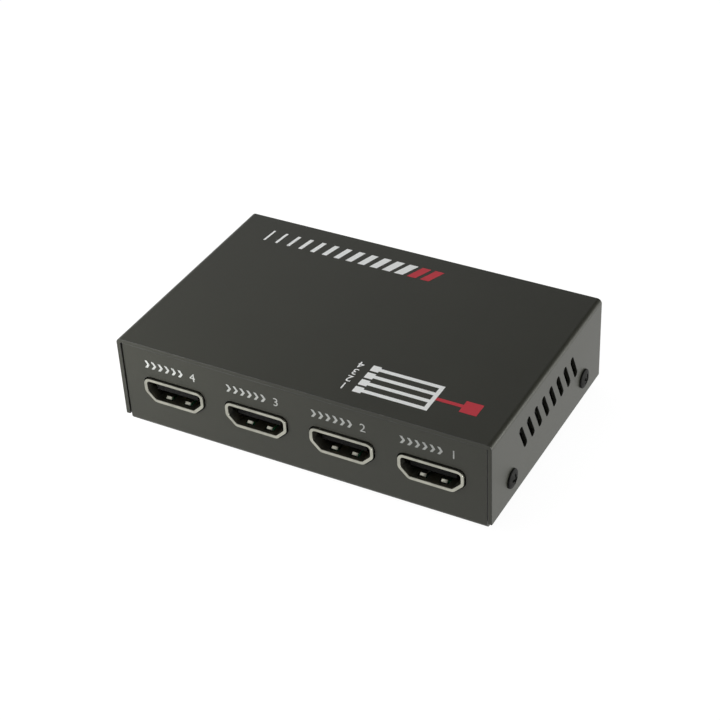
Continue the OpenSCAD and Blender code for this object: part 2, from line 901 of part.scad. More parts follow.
module dc_jack_pin() {
    color(shell_silver)
        at_jack() {
            translate([0, -jack_pin_in - jack_pin_r, 0]) {
                sphere(jack_pin_r);
                rotate([90, 0, 0])
                    cylinder(h = jack_bore_l - jack_pin_in, r = jack_pin_r);
            }
            translate([0, -jack_bore_l, 0])
                rotate([90, 0, 0])
                    cylinder(h = jack_l - jack_bore_l, r = jack_root_r);
            translate([0, -jack_l, 0])
                rotate([90, 0, 0])
                    cylinder(h = leaf_t, r = jack_rivet_r);
            block([-leaf_w / 2, -jack_l - leaf_t, jack_leg_z], [leaf_w / 2, -jack_l, 0]);
        }
}

// Fixed blade under the root of the leaf, soldered into the board
module dc_jack_blade() {
    back = leaf_root[0] - leaf_bend_out_r;
    color(shell_silver)
        at_jack()
            block(
                [-leaf_w / 2, back, jack_leg_z],
                [leaf_w / 2, back + leaf_t, leaf_root[1] - leaf_blade_gap]
            );
}

// Spring leaf that presses on the sleeve of the plug and bends about its rolled root
module dc_jack_leaf() {
    start = leaf_root + [0, leaf_bend_r];
    color(shell_silver)
        at_jack()
            rotate([90, 0, 90])
                linear_extrude(leaf_w, center = true) {
                    intersection() {
                        translate(leaf_root)
                            difference() {
                                circle(leaf_bend_out_r);
                                circle(leaf_bend_r);
                            }
                        translate(leaf_root - [leaf_bend_out_r, 0])
                            square(leaf_bend_out_r);
                    }
                    polygon([
                        start, leaf_crest - [0, leaf_t], leaf_tip - [0, leaf_t],
                        leaf_tip, leaf_crest, start + [0, leaf_t]
                    ]);
                }
}

// Lights

module indicator_light(i, shade) {
    color(shade)
        at_light(i) {
            translate([0, -light_r, 0]) {
                sphere(light_r);
                rotate([90, 0, 0])
                    cylinder(h = light_l - light_r, r = light_r);
            }
            translate([0, light_flange - light_l, 0])
                rotate([90, 0, 0])
                    cylinder(h = light_flange, r = light_r + light_flange_out);
        }
}

module light_leads() {
    w = lead_t / 2;
    back = -light_l - lead_back;
    low = leg_z - light_z;
    color(tin_silver)
        for (i = [0 : output_count])
            for (x = [-lead_pitch / 2, lead_pitch / 2])
                at_light(i)
                    translate([x, 0, 0]) {
                        block([-w, back, -w], [w, -light_l, w]);
                        block([-w, back, low], [w, back + lead_t, w]);
                    }
}

// Parts on the board

module box_on_board(spot, w, d, h, up = 0) {
    on_board(spot)
        translate([-w / 2, -d / 2, up])
            cube([w, d, h]);
}

module splitter_chip() {
    color("#1c1c1e")
        box_on_board(chip_at, chip_w, chip_w, chip_h);
}

module thermal_pad() {
    color("#8fa6b8")
        box_on_board(chip_at, chip_w, chip_w, pad_t, chip_h);
}

module heat_sink() {
    base_z = chip_h + pad_t;
    fin_step = (sink_w - fin_t) / (fin_count - 1);
    color("#9a9ca0") {
        box_on_board(chip_at, sink_w, sink_w, sink_base, base_z);
        for (i = [0 : fin_count - 1])
            box_on_board(
                chip_at + [in_row(i, fin_count, fin_step), 0],
                fin_t, sink_w, fin_h + sink_base / 2, base_z + sink_base / 2
            );
    }
}

// Lead that leaves a chip along +Y at a given height and bends down to a foot on the board
module bent_lead(w, reach, t, up) {
    knee = reach / 2;
    block([-w / 2, 0, up], [w / 2, knee, up + t]);
    block([-w / 2, knee - t, 0], [w / 2, knee, up + t]);
    block([-w / 2, knee - t, 0], [w / 2, reach, t]);
}

module power_regulator() {
    color("#1c1c1e")
        box_on_board(regulator_at, regulator_w, regulator_w, regulator_h - regulator_tab_t, regulator_tab_t);
}

module regulator_tab() {
    half = regulator_w / 2;
    color(tin_silver)
        on_board(regulator_at) {
            block(
                [regulator_tab_in - half, regulator_tab_in - half, 0],
                [half - regulator_tab_in, half + regulator_tab_l, regulator_tab_t]
            );
            for (x = [-regulator_lead_x, regulator_lead_x])
                translate([x, -half, 0])
                    rotate([0, 0, 180])
                        bent_lead(regulator_lead_w, regulator_lead_l, regulator_tab_t, regulator_h / 2);
        }
}

module power_inductor() {
    color("#3c3b3a")
        on_board(coil_at) {
            for (z = [0, coil_h - coil_plate])
                translate([0, 0, z])
                    linear_extrude(coil_plate)
                        round_cornered_section(coil_w, coil_w, coil_corner_r);
            cylinder(h = coil_h, r = coil_w / 2 - coil_waist);
        }
}

module filter_can(i) {
    color("#c9cbcc")
        on_board(can_spots[i - 1])
            translate([0, 0, can_base_h])
                difference() {
                    cylinder(h = can_h, d = can_d);
                    translate([0, 0, can_neck_h])
                        rotate_extrude()
                            translate([can_d / 2, 0])
                                circle(can_neck_r);
                }
}

module filter_base(i) {
    side = can_d / 2 + can_base_out;
    cut = side - can_base_cut;
    color(plastic_black)
        on_board(can_spots[i - 1])
            linear_extrude(can_base_h)
                polygon([
                    [-side, -side], [cut, -side], [side, -cut],
                    [side, cut], [cut, side], [-side, side]
                ]);
}

module crystal() {
    color("#b9bcbe")
        on_board(crystal_at)
            rotate([0, 0, 90]) {
                linear_extrude(crystal_h)
                    long_hole_section(crystal_l, crystal_w);
                linear_extrude(crystal_brim)
                    long_hole_section(crystal_l + 2 * crystal_brim, crystal_w + 2 * crystal_brim);
            }
}

module memory_chip() {
    color("#1c1c1e")
        box_on_board(memory_at, memory_l, memory_w, memory_h - memory_lead_t, memory_lead_t);
}

module memory_leads() {
    color(tin_silver)
        on_board(memory_at)
            for (side = [0, 180])
                for (i = [0 : memory_lead_count - 1])
                    rotate([0, 0, side])
                        translate([in_row(i, memory_lead_count, memory_lead_pitch), memory_w / 2, 0])
                            bent_lead(memory_lead_w, memory_lead_l, memory_lead_t, memory_h / 2);
}

module chip_capacitors() {
    color("#a98c66") {
        for (i = [1 : output_count])
            for (k = [0 : coupling_count - 1])
                box_on_board(
                    [output_x(i) + in_row(k, coupling_count, coupling_pitch), coupling_row_y],
                    passive_w, passive_l, passive_w
                );
        for (k = [0 : bypass_count - 1])
            box_on_board(bypass_at - [k * bypass_pitch, 0], passive_w, passive_l, passive_w);
    }
}

base_tray();
top_cover();
cover_screws();
for (i = [1 : len(foot_spots)])
    rubber_foot(i);
board_standoffs();
board_screws();
main_board();
for (i = [1 : output_count]) {
    at_output(i) socket_shell();
    at_output(i) socket_tongue();
    at_output(i) socket_contacts();
}
at_input() socket_shell();  // input_shell
at_input() socket_tongue();  // input_tongue
at_input() socket_contacts();  // input_contacts
dc_jack_housing();
dc_jack_pin();
dc_jack_blade();
dc_jack_leaf();
indicator_light(0, "#c43a30");  // power_light
for (i = [1 : output_count])
    indicator_light(i, "#4fae5c");
light_leads();
splitter_chip();
thermal_pad();
heat_sink();
power_regulator();
regulator_tab();
power_inductor();
for (i = [1 : len(can_spots)]) {
    filter_can(i);
    filter_base(i);
}
crystal();
memory_chip();
memory_leads();
chip_capacitors();
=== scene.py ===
"""Looks of a one-in, four-out video splitter: painted case, plated sockets, print and a studio.

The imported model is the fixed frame. Each operator dresses one group of like pieces, and the last
one sets the stage.
"""

import json
import math

import bmesh
import bpy
from mathutils import Matrix, Vector
from mathutils.geometry import intersect_point_line


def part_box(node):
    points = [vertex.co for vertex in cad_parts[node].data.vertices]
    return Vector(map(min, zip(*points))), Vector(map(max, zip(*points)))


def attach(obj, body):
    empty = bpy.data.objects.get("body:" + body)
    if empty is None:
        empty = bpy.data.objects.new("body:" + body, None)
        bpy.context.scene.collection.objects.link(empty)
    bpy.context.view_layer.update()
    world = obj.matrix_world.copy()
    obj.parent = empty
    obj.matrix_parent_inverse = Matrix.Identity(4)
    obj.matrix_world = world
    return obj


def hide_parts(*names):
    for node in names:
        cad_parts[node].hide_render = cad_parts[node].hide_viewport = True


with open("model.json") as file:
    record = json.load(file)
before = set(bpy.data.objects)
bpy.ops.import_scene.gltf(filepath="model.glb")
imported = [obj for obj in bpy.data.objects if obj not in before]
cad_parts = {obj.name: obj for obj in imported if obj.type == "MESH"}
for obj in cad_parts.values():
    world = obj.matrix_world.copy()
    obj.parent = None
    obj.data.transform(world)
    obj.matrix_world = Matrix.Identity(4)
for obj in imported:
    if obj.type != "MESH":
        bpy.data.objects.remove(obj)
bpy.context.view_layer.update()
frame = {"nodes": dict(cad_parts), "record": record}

bl_info = {
    "name": "Video Splitter Looks",
    "version": (1, 0, 0),
    "blender": (4, 5, 0),
    "location": "View3D > Sidebar > Splitter",
    "description": "Dresses the packed video splitter and sets its stage",
    "category": "Object",
}

MM = 0.001
MERGE_DISTANCE = 0.001 * MM
FLAT_ANGLE = math.radians(1.0)  # faces that differ by less are one face
LEVEL_COSINE = 0.9999  # cosine of the angle between faces of one plane
SHARP_ANGLE = math.radians(28.0)  # edges that turn by more are rounded
STRAIGHT_ANGLE = math.radians(140.0)  # edges that meet at a wider angle run on in one line
CREASE_ANGLE = math.radians(38.0)  # edges of a screw that turn by more stay sharp
ABREAST_COSINE = 0.7  # below it, one edge lies beside another and not ahead of it
ROOM_SHARE = 0.45  # share of the room beside an edge that its rounding may take
LEAST_SHARE = 0.15  # an edge that has room for less of its rounding stays sharp
SMALL_FACE = 40  # edges of the largest face that is searched for room
FOLD_AREA = 0.003  # smallest fold that is mended, in square millimetres
ROUNDING_STEPS = 3
DOME_STEPS = 12
HEAD_CHAMFER = 0.06 * MM
SHADE_START_SHARE = 0.7  # share of a sheet's thickness, from its outer face, past which the inner faces get painted shade
SENSOR_WIDTH = 36.0
CLIP_START = 0.01
FLOOR_SIDES = 96
NUMERAL_HALF = 1 / 3  # half the width of a numeral, as a share of its height
PORTS = (1, 2, 3, 4)
FEET = (1, 2, 3, 4)
WHITE = (1.0, 1.0, 1.0, 1.0)
FLOOR_GREY = (0.75, 0.75, 0.75, 1.0)
SLOT_OF = {part["node"]: part["material_slot"] for part in frame["record"]["subparts"]}
BODY_OF = {
    node: body
    for body, members in frame["record"]["behaviour"]["bodies"].items()
    for node in members
}
LEFT_TO_RIGHT = (-0.75, 0.05)  # where the world's light falls off, as the X part of a direction
BACKDROP_EDGE = (0.2, 0.3)  # where the white backdrop ends, as the Z part of a direction
# Name, setting of its power, place, width and height in metres, and whether gloss mirrors it
LAMPS = (
    ("key_light", "key", (0.97, 0.2, 0.085), (0.9, 0.15), True),
    ("fill_light", "fill", (-0.1, -0.075, 0.05), (0.05, 0.05), False),
    ("top_light", "top", (0.0, 0.0, 0.6), (0.5, 0.5), False),
    ("box_light", "box", (-0.2, -0.28, 0.4), (0.25, 0.25), True),
)


# Sizes and colours that a user would change

def maker(kind, scale=1, **limits):
    """A function that makes a property of one kind from a name, a description and a default."""
    return lambda name, description, default: kind(
        name=name, description=description, default=default * scale, **limits
    )


# Lengths are given in millimetres and angles in degrees
length = maker(bpy.props.FloatProperty, MM, min=0.0, precision=6, unit="LENGTH")
angle = maker(bpy.props.FloatProperty, math.radians(1), subtype="ANGLE")
level = maker(bpy.props.FloatProperty, min=0.0)
count = maker(bpy.props.IntProperty, min=1)
colour = maker(bpy.props.FloatVectorProperty, subtype="COLOR", min=0.0, max=1.0)


class SplitterColours(bpy.types.PropertyGroup):
    """Base colours of the finishes, one for each material slot of the record"""

    __annotations__ = {
        entry["slot"]: colour(
            entry["slot"].replace("_", " ").capitalize(), entry["finish"], entry["base_color"]
        )
        for entry in frame["record"]["materials"]
    }


class SplitterEdges(bpy.types.PropertyGroup):
    """Rounding of the edges of each group of pieces"""

    sheet: length("Sheet", "Radius of the painted sheet edges", 0.1)
    shell: length("Shell", "Radius of the edges of the socket shells", 0.1)
    moulding: length("Moulding", "Radius of the edges of the moulded pieces", 0.12)
    tongue: length("Tongue", "Radius of the edges of the socket tongues", 0.06)
    contact: length("Contact", "Radius of the edges of contacts, leads and leaves", 0.04)
    foot: length("Foot", "Radius of the lower edge of the feet", 0.35)
    sink: length("Heat sink", "Radius of the edges of the heat sink", 0.12)
    chip: length("Chip", "Radius of the edges of the chips", 0.06)


class SplitterScrews(bpy.types.PropertyGroup):
    """Sizes of the pan-head screws"""

    shank_radius: length("Shank radius", "Radius of the thread's crests", 1.45)
    cover_length: length("Cover length", "Length of a cover screw under its head", 4.0)
    board_length: length("Board length", "Length of a board screw under its head", 5.0)
    rim: length("Rim", "Height of the straight rim of a head", 0.4)
    rim_round: length("Rim rounding", "Radius of the edge above the rim", 0.22)
    thread_pitch: length("Thread pitch", "Distance between the crests of the thread", 0.5)
    thread_depth: length("Thread depth", "Depth of the thread", 0.22)
    recess_length: length("Recess length", "Length of the cross recess from end to end", 2.9)
    recess_width: length("Recess width", "Width of the arms of the cross recess", 0.72)
    recess_depth: length("Recess depth", "Depth of the cross recess", 0.75)
    recess_taper: level("Recess taper", "Size of the recess's floor, as a share of its mouth", 0.55)
    seed: count("Seed", "Seed of the turns that the screws stop at", 3)


class SplitterPrint(bpy.types.PropertyGroup):
    """Sizes of the printed marks"""

    white: colour("White ink", "Colour of the white marks on the cover", (0.8, 0.81, 0.8))
    pale: colour("Pale ink", "Colour of the thin marks over the sockets", (0.43, 0.44, 0.42))
    red: colour("Red ink", "Colour of the red marks", (0.48, 0.03, 0.045))
    thickness: length("Thickness", "Thickness of the ink", 0.03)
    label_height: length("Label height", "Height of the marks over the sockets", 17.3)
    label_shift: length("Label shift", "Distance from the marks to the middle of the socket", 0.6)
    label_width: length("Label width", "Width of the marks over a socket", 13.2)
    numeral: length("Numeral", "Height of a numeral", 2.1)
    chevron_count: count("Chevrons", "Chevrons in front of each numeral", 6)
    chevron_pitch: length("Chevron pitch", "Distance between the chevrons", 1.75)
    chevron_height: length("Chevron height", "Height of a chevron", 1.9)
    chevron_width: length("Chevron width", "Width of a chevron", 1.3)
    chevron_stroke: length("Chevron stroke", "Width of a chevron's stroke along the row", 0.62)
    bar_height: length("Bar height", "Height of the slanted bars", 4.6)
    bar_lean: length("Bar lean", "Shift of a bar's top along the row", 1.9)
    bar_width: length("Bar width", "Width of the widest bar", 2.2)
    bar_pitch: length("Bar pitch", "Distance between the bars", 3.35)
    bar_count: count("White bars", "White bars in the row", 12)
    red_bar_count: count("Red bars", "Red bars at the head of the row", 2)
    bar_last: level("Last bar", "Width of the last white bar, as a share of the first", 0.22)
    bar_aside: length("Bars aside", "Distance of the first bar to the right of the middle", 7.0)
    bar_inset: length("Bars inset", "Distance of the bars from the back edge", 7.4)
    line: length("Line", "Width of the lines of the diagram", 1.0)
    row_pitch: length("Row pitch", "Distance between the diagram's ends", 2.7)
    block: length("Block", "Size of the block at each end of the diagram", 2.0)
    source: length("Source", "Size of the square at the head of the diagram", 4.0)
    stem: length("Stem", "Length of the line from the square to the fork", 6.2)
    branch: length("Branch", "Length of a line from the fork to its block", 15.4)
    figure: length("Figure", "Distance from the start of a block to its numeral", 4.6)
    diagram_aside: length("Diagram aside", "Distance of the fork to the right of the middle", 28.6)
    diagram_inset: length("Diagram inset", "Distance of the diagram from the front edge", 9.8)


class SplitterBoard(bpy.types.PropertyGroup):
    """Sizes of the pads on the circuit board"""

    pad_count: count("Pads", "Pads behind each socket", 19)
    pad_pitch: length("Pad pitch", "Distance between the pads", 0.5)
    pad_width: length("Pad width", "Width of a pad", 0.34)
    pad_inner: length("Pad under tail", "Reach of a pad under the contact's tail", 1.9)
    pad_outer: length("Pad past tail", "Reach of a pad past the contact's tail", 0.4)
    pad_thickness: length("Pad thickness", "Thickness of the plated copper", 0.03)
    ring_inner: length("Ring hole", "Radius of the hole in the plated ring round a screw", 1.75)
    ring_width: length("Ring width", "Width of the ring that shows round a screw's head", 0.9)


class SplitterStage(bpy.types.PropertyGroup):
    """Camera and studio"""

    azimuth: angle("Azimuth", "Turn of the camera from the front towards the right", 29.94)
    elevation: angle("Elevation", "Height of the camera above the horizon", 35.63)
    roll: angle("Roll", "Turn of the camera about its own axis", -3.01)
    distance: length("Distance", "Distance from the camera to its target", 409.4)
    lens: level("Lens", "Focal length in millimetres on a sensor of 36 mm", 89.92)
    aside: length("Target aside", "Distance of the target to the left of the middle", 0.625)
    height: length("Target height", "Height of the target above the floor", 12.33)
    key: level("Key", "Power of the soft light on the right, in watts", 12.5)
    fill: level("Fill", "Power of the soft light near the left end, in watts", 0.15)
    top: level("Top", "Power of the soft light overhead, in watts", 1.0)
    box: level("Soft box", "Power of the soft light above the sockets, in watts", 0.2)
    left: level("Left", "Level of the light from the left", 0.78)
    right: level("Right", "Level of the light from the right", 0.03)
    white: level("White", "Share of plain white in the floor that the camera sees", 0.85)
    glow: level("Glow", "Level of that white", 1.125)
    reach: length("Floor reach", "Radius of the floor", 4000.0)


# Node trees

def operator_pair(operation):
    """The methods of an operator and of its reflected form, which add a Math node."""
    return (
        lambda self, other: self.tree.math(operation, self, other),
        lambda self, other: self.tree.math(operation, other, self),
    )


class Value:
    """A number in a node tree. Python's operators on it add Math nodes."""

    def __init__(self, tree, socket):
        self.tree = tree
        self.socket = socket

    __add__, __radd__ = operator_pair("ADD")
    __sub__, __rsub__ = operator_pair("SUBTRACT")
    __mul__, __rmul__ = operator_pair("MULTIPLY")
    __truediv__, __rtruediv__ = operator_pair("DIVIDE")


class Tree:
    """A node tree of any kind, filled through one method."""

    def __init__(self, tree):
        self.tree = tree

    def feed(self, node, sockets):
        """Sets the sockets of a node, by value or by link. A node stands for its first output."""
        for key, value in sockets.items():
            if isinstance(value, Value):
                value = value.socket
            elif isinstance(value, bpy.types.Node):
                value = value.outputs[0]
            if isinstance(value, bpy.types.NodeSocket):
                self.tree.links.new(value, node.inputs[key])
            else:
                node.inputs[key].default_value = value

    def node(self, kind, settings=None, sockets=None):
        """Adds a node, and sets its settings and then its sockets."""
        node = self.tree.nodes.new(kind)
        for name, value in (settings or {}).items():
            setattr(node, name, value)
        self.feed(node, sockets or {})
        return node

    def math(self, operation, *values):
        """The result of a Math node on these values."""
        node = self.node("ShaderNodeMath", {"operation": operation}, dict(enumerate(values)))
        return Value(self, node.outputs[0])

    def ramp(self, value, low, high, ends=(0.0, 1.0)):
        """Value spread from the first end at low to the second at high, softly at both."""
        node = self.node("ShaderNodeMapRange", {"interpolation_type": "SMOOTHSTEP"}, {
            "Value": value, "From Min": low, "From Max": high, "To Min": ends[0], "To Max": ends[1],
        })
        return Value(self, node.outputs["Result"])


def rgba(parts, scale=1.0):
    """A colour with full alpha, brightened or darkened by scale."""
    return (*(min(part * scale, 1.0) for part in parts), 1.0)


def tinted(tint, shares):
    """A colour with each of its parts scaled by a share."""
    return [part * share for part, share in zip(tint, shares)]


class Finish(Tree):
    """A procedural material with one principled shader, patterned on Object coordinates."""

    def __init__(self, name, constants):
        self.material = bpy.data.materials.new(name)
        self.material.use_nodes = True
        super().__init__(self.material.node_tree)
        self.shader = self.tree.nodes["Principled BSDF"]
        self.feed(self.shader, constants)
        self.place = self.node("ShaderNodeTexCoord").outputs["Object"]

    def noise(self, size, detail=2.0, stretch=(1.0, 1.0, 1.0)):
        """Noise from 0 to 1 with spots of about this size, drawn out along the axes by stretch."""
        scale = [1.0 / (size * part) for part in stretch]
        spot = self.node("ShaderNodeMapping", {}, {"Vector": self.place, "Scale": scale})
        sockets = {"Vector": spot, "Scale": 1.0, "Detail": detail}
        return Value(self, self.node("ShaderNodeTexNoise", {}, sockets).outputs[0])

    def cells(self, size):
        """Distance to the nearest of points that lie about this far apart, from 0 to about 1."""
        sockets = {"Vector": self.place, "Scale": 1.0 / size}
        return Value(self, self.node("ShaderNodeTexVoronoi", {}, sockets).outputs["Distance"])

    def axis(self, index):
        """One of the three Object coordinates, in metres."""
        split = self.node("ShaderNodeSeparateXYZ", {}, {0: self.place})
        return Value(self, split.outputs[index])

    def mix(self, factor, first, second):
        """A colour between two colours or colour sockets."""
        sockets = {0: factor, 6: first, 7: second}
        return self.node("ShaderNodeMix", {"data_type": "RGBA"}, sockets).outputs[2]

    def coat(self, base, roughness, relief, depth):
        """Feeds the shader with a colour, a roughness and a relief of this depth in metres."""
        sockets = {"Height": relief, "Distance": depth, "Strength": 1.0}
        bump = self.node("ShaderNodeBump", {}, sockets)
        self.feed(self.shader, {"Base Color": base, "Roughness": roughness, "Normal": bump})
        return self.material


# Finishes

def powder_coat(name, tint):
    """Black powder coat: a fine grain on a soft orange peel, with faint clouds, and painted shade
    on the inner faces.
    """
    paint = Finish(name, {"Specular IOR Level": 0.42, "Specular Tint": (1.0, 1.0, 0.9, 1.0)})
    grain = paint.noise(0.17 * MM, 3.0)
    peel = paint.noise(0.9 * MM)
    cloud = paint.noise(16 * MM, 3.0)
    olive = tinted(tint, (1.04, 1.05, 0.86))
    tone = paint.mix(cloud, rgba(olive, 0.34), rgba(olive, 0.5))
    speckled = paint.mix(0.4 * paint.ramp(grain, 0.58, 0.74), tone, rgba(olive, 1.0))
    painted_shade_inside = inner_side(paint)
    # Painted shade: the inner faces of the sheets turn near black and rougher, standing in for the
    # shade inside the closed case.
    coat_and_inner_shade = paint.mix(painted_shade_inside, speckled, rgba(tint, 0.15))
    gloss = 0.33 + 0.1 * grain + 0.06 * cloud + 0.4 * painted_shade_inside
    return paint.coat(coat_and_inner_shade, gloss, 0.65 * grain + 0.35 * peel, 0.02 * MM)


def inner_side(paint):
    """1 on the inner faces of the folded sheets, where the coat is darkened as painted shade, and 0
    outside.
    """
    cover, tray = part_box("top_cover"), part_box("base_tray")
    skin = SHADE_START_SHARE * (cover[1].z - tray[1].z)
    mask = 1.0
    for index, reach in ((0, cover[1].x), (1, tray[1].y)):
        away = paint.math("ABSOLUTE", paint.axis(index))
        mask = mask * paint.math("LESS_THAN", away, reach - skin)
    height = paint.axis(2)
    mask = mask * paint.math("LESS_THAN", height, cover[1].z - skin)
    return mask * paint.math("GREATER_THAN", height, tray[0].z + skin)


def rubbed_coat(name, tint):
    """The same coat on an edge, thinner and polished in patches by handling."""
    paint = Finish(name, {"Specular IOR Level": 0.5})
    grain = paint.noise(0.17 * MM, 3.0)
    patch = paint.ramp(paint.noise(2.4 * MM, 4.0), 0.55, 0.7)
    tone = paint.mix(0.5 * patch, rgba(tint, 0.85), rgba(tint, 1.8))
    return paint.coat(tone, 0.46 - 0.12 * patch + 0.08 * grain, grain, 0.012 * MM)


def black_oxide(name, tint):
    """Oiled black oxide on steel, brown where it has been rubbed thin."""
    steel = Finish(name, {"Specular IOR Level": 0.12})
    grain = steel.noise(0.12 * MM, 3.0)
    thin = steel.ramp(steel.noise(0.9 * MM, 4.0), 0.55, 0.75)
    tone = steel.mix(0.5 * thin, rgba(tint, 0.8), rgba((0.03, 0.026, 0.022)))
    return steel.coat(tone, 0.6 + 0.14 * grain - 0.08 * thin, grain, 0.006 * MM)


def plated(name, tint, rough, stretch=(1.0, 6.0, 1.0), tarnish=0.75):
    """Plated or bare metal with fine drawing marks, small scuffs and duller clouds."""
    metal = Finish(name, {"Metallic": 1.0})
    marks = metal.noise(0.07 * MM, 2.0, stretch)
    cloud = metal.noise(2.2 * MM, 4.0)
    scuff = metal.ramp(metal.noise(0.35 * MM, 5.0, (1.0, 2.5, 1.0)), 0.6, 0.72)
    tone = metal.mix(metal.ramp(cloud, 0.35, 0.75), rgba(tint), rgba(tint, tarnish))
    sheen = rough + 0.12 * cloud + 0.1 * scuff + 0.06 * marks
    return metal.coat(tone, sheen, 0.7 * marks + 0.3 * scuff, 0.003 * MM)


def moulded(name, tint, rough, grain_size, depth, specular=0.45):
    """Moulded plastic, epoxy or rubber with a fine spark-eroded grain."""
    plastic = Finish(name, {"Specular IOR Level": specular})
    grain = plastic.noise(grain_size * MM, 3.0)
    cloud = plastic.noise(3.5 * MM, 3.0)
    tone = plastic.mix(cloud, rgba(tint, 0.82), rgba(tint, 1.2))
    return plastic.coat(tone, rough + 0.12 * grain + 0.06 * cloud, grain, depth * MM)


def lens_resin(name, tint):
    """Diffused resin of a light, its tone clouded at random, with a glossy coat."""
    resin = Finish(name, {"Coat Weight": 0.6, "Coat Roughness": 0.08, "IOR": 1.52})
    haze = resin.noise(0.5 * MM, 4.0)
    tone = resin.mix(haze, rgba(tint, 0.8), rgba(tint, 1.25))
    return resin.coat(tone, 0.22 + 0.14 * haze, resin.noise(0.3 * MM), 0.002 * MM)


def fired_ceramic(name, tint):
    """Fired ceramic or ferrite with dark pores."""
    body = Finish(name, {"Specular IOR Level": 0.4})
    grain = body.noise(0.09 * MM, 4.0)
    pore = body.ramp(body.cells(0.28 * MM), 0.12, 0.3)
    tone = body.mix(pore, rgba(tint, 0.55), body.mix(grain, rgba(tint, 0.85), rgba(tint, 1.2)))
    return body.coat(tone, 0.5 + 0.2 * grain, 0.5 * grain + 0.5 * pore, 0.008 * MM)


def solder_mask(name, tint):
    """Green mask over copper tracks: lines that run in from the sockets, on a darker ground."""
    board = Finish(name, {"Specular IOR Level": 0.5, "Coat Weight": 0.3, "Coat Roughness": 0.2})
    across = board.math("PINGPONG", board.axis(0) / MM, 0.5)
    track = board.ramp(across, 0.2, 0.28)
    depth = board.math("ABSOLUTE", board.axis(1))
    outer = board.ramp(depth, 7 * MM, 9 * MM)
    pour = board.ramp(board.noise(7 * MM, 1.0), 0.47, 0.5)
    copper = track * outer + pour * (1.0 - outer)
    weave = board.noise(0.4 * MM, 2.0, (3.0, 1.0, 1.0))
    tone = board.mix(copper, rgba(tint, 0.35), rgba(tint, 0.7))
    return board.coat(tone, 0.3 + 0.12 * weave, copper + 0.15 * weave, 0.03 * MM)


def ink(name, tint):
    """Pad-printed ink with pinholes and a faintly uneven cover."""
    print_coat = Finish(name, {"Specular IOR Level": 0.4})
    cover = print_coat.noise(0.25 * MM, 3.0)
    pinhole = print_coat.ramp(print_coat.cells(0.5 * MM), 0.04, 0.12)
    even = print_coat.mix(cover, rgba(tint, 0.9), rgba(tint, 1.06))
    tone = print_coat.mix(pinhole, rgba(tint, 0.45), even)
    return print_coat.coat(tone, 0.45 + 0.15 * cover, cover, 0.006 * MM)


def shell_plating(name, tint):
    """Bright plating of the socket shells, a little colder than the record's colour."""
    return plated(name, tinted(tint, (0.93, 0.98, 0.95)), 0.28)


# The function that makes each finish, with what it is given after a name and a colour
FINISHES = {
    "case_paint": (powder_coat,),
    "screw_black": (black_oxide,),
    "foot_rubber": (moulded, 0.72, 0.2, 0.02),
    "standoff_brass": (plated, 0.24, (1.0, 1.0, 8.0)),
    "tin_plate": (plated, 0.3, (1.0, 1.0, 1.0), 0.85),
    "board_laminate": (solder_mask,),
    "shell_plate": (shell_plating,),
    "socket_plastic": (moulded, 0.62, 0.11, 0.008, 0.05),
    "contact_gold": (plated, 0.18),
    "light_red": (lens_resin,),
    "light_green": (lens_resin,),
    "chip_epoxy": (moulded, 0.5, 0.09, 0.01),
    "thermal_pad": (moulded, 0.8, 0.3, 0.02),
    "sink_aluminium": (plated, 0.32, (1.0, 10.0, 1.0), 0.9),
    "can_aluminium": (plated, 0.22, (1.0, 1.0, 6.0), 0.9),
    "ferrite": (fired_ceramic,),
    "capacitor_ceramic": (fired_ceramic,),
    "case_edge": (rubbed_coat,),
    "white_ink": (ink,),
    "pale_ink": (ink,),
    "red_ink": (ink,),
}


def finish(name, tint=None):
    """The named finish, made the first time that it is asked for."""
    made = bpy.data.materials.get("finish_" + name)
    if made is None:
        tint = tint or tuple(getattr(bpy.context.scene.splitter_colours, name))
        make, *given = FINISHES[name]
        made = make("finish_" + name, tint, *given)
    return made


# Meshes

def clean(shape, distance=MERGE_DISTANCE):
    """Merges doubled corners of a closed bmesh, drops empty faces and turns the rest outwards."""
    bmesh.ops.remove_doubles(shape, verts=shape.verts, dist=distance)
    bmesh.ops.dissolve_degenerate(shape, edges=shape.edges, dist=distance)
    bmesh.ops.recalc_face_normals(shape, faces=shape.faces)


def cleaned(mesh):
    """The same mesh with its faces cleaned."""
    shape = bmesh.new()
    shape.from_mesh(mesh)
    clean(shape)
    shape.to_mesh(mesh)
    shape.free()
    return mesh


def plain_mesh(shape, name, materials=()):
    """Turns a bmesh into a smooth-shaded mesh with these materials."""
    mesh = bpy.data.meshes.new(name)
    shape.to_mesh(mesh)
    shape.free()
    for material in materials:
        mesh.materials.append(material)
    mesh.polygons.foreach_set("use_smooth", [True] * len(mesh.polygons))
    return mesh


def added(name, data):
    """A new object in the scene."""
    made = bpy.data.objects.new(name, data)
    bpy.context.scene.collection.objects.link(made)
    return made


def evaluated(data, kind=None, settings=None, inputs=None):
    """The plain mesh of a mesh or text after a modifier with these settings and tree inputs."""
    holder = added("holder", data)
    if kind:
        modifier = holder.modifiers.new(kind.capitalize(), kind)
        for name, value in settings.items():
            setattr(modifier, name, value)
        for identifier, value in (inputs or {}).items():
            modifier[identifier] = value
    graph = bpy.context.evaluated_depsgraph_get()
    mesh = bpy.data.meshes.new_from_object(
        holder.evaluated_get(graph), preserve_all_data_layers=True, depsgraph=graph
    )
    bpy.data.objects.remove(holder)
    return mesh


def grown(data, tree, inputs):
    """The plain mesh that a Geometry Nodes tree makes of a mesh, with its named inputs."""
    sockets = {item.name: item.identifier for item in tree.interface.items_tree}
    named = {sockets[name]: value for name, value in inputs.items()}
    return evaluated(data, "NODES", {"node_group": tree}, named)


def piece(name, mesh, replaced=()):
    """Makes an object of a finished mesh, which rides on the body of the nodes it stands for."""
    made = added(name, mesh)
    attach(made, BODY_OF[replaced[0]] if replaced else "case")
    if replaced:
        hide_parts(*replaced)
    return made


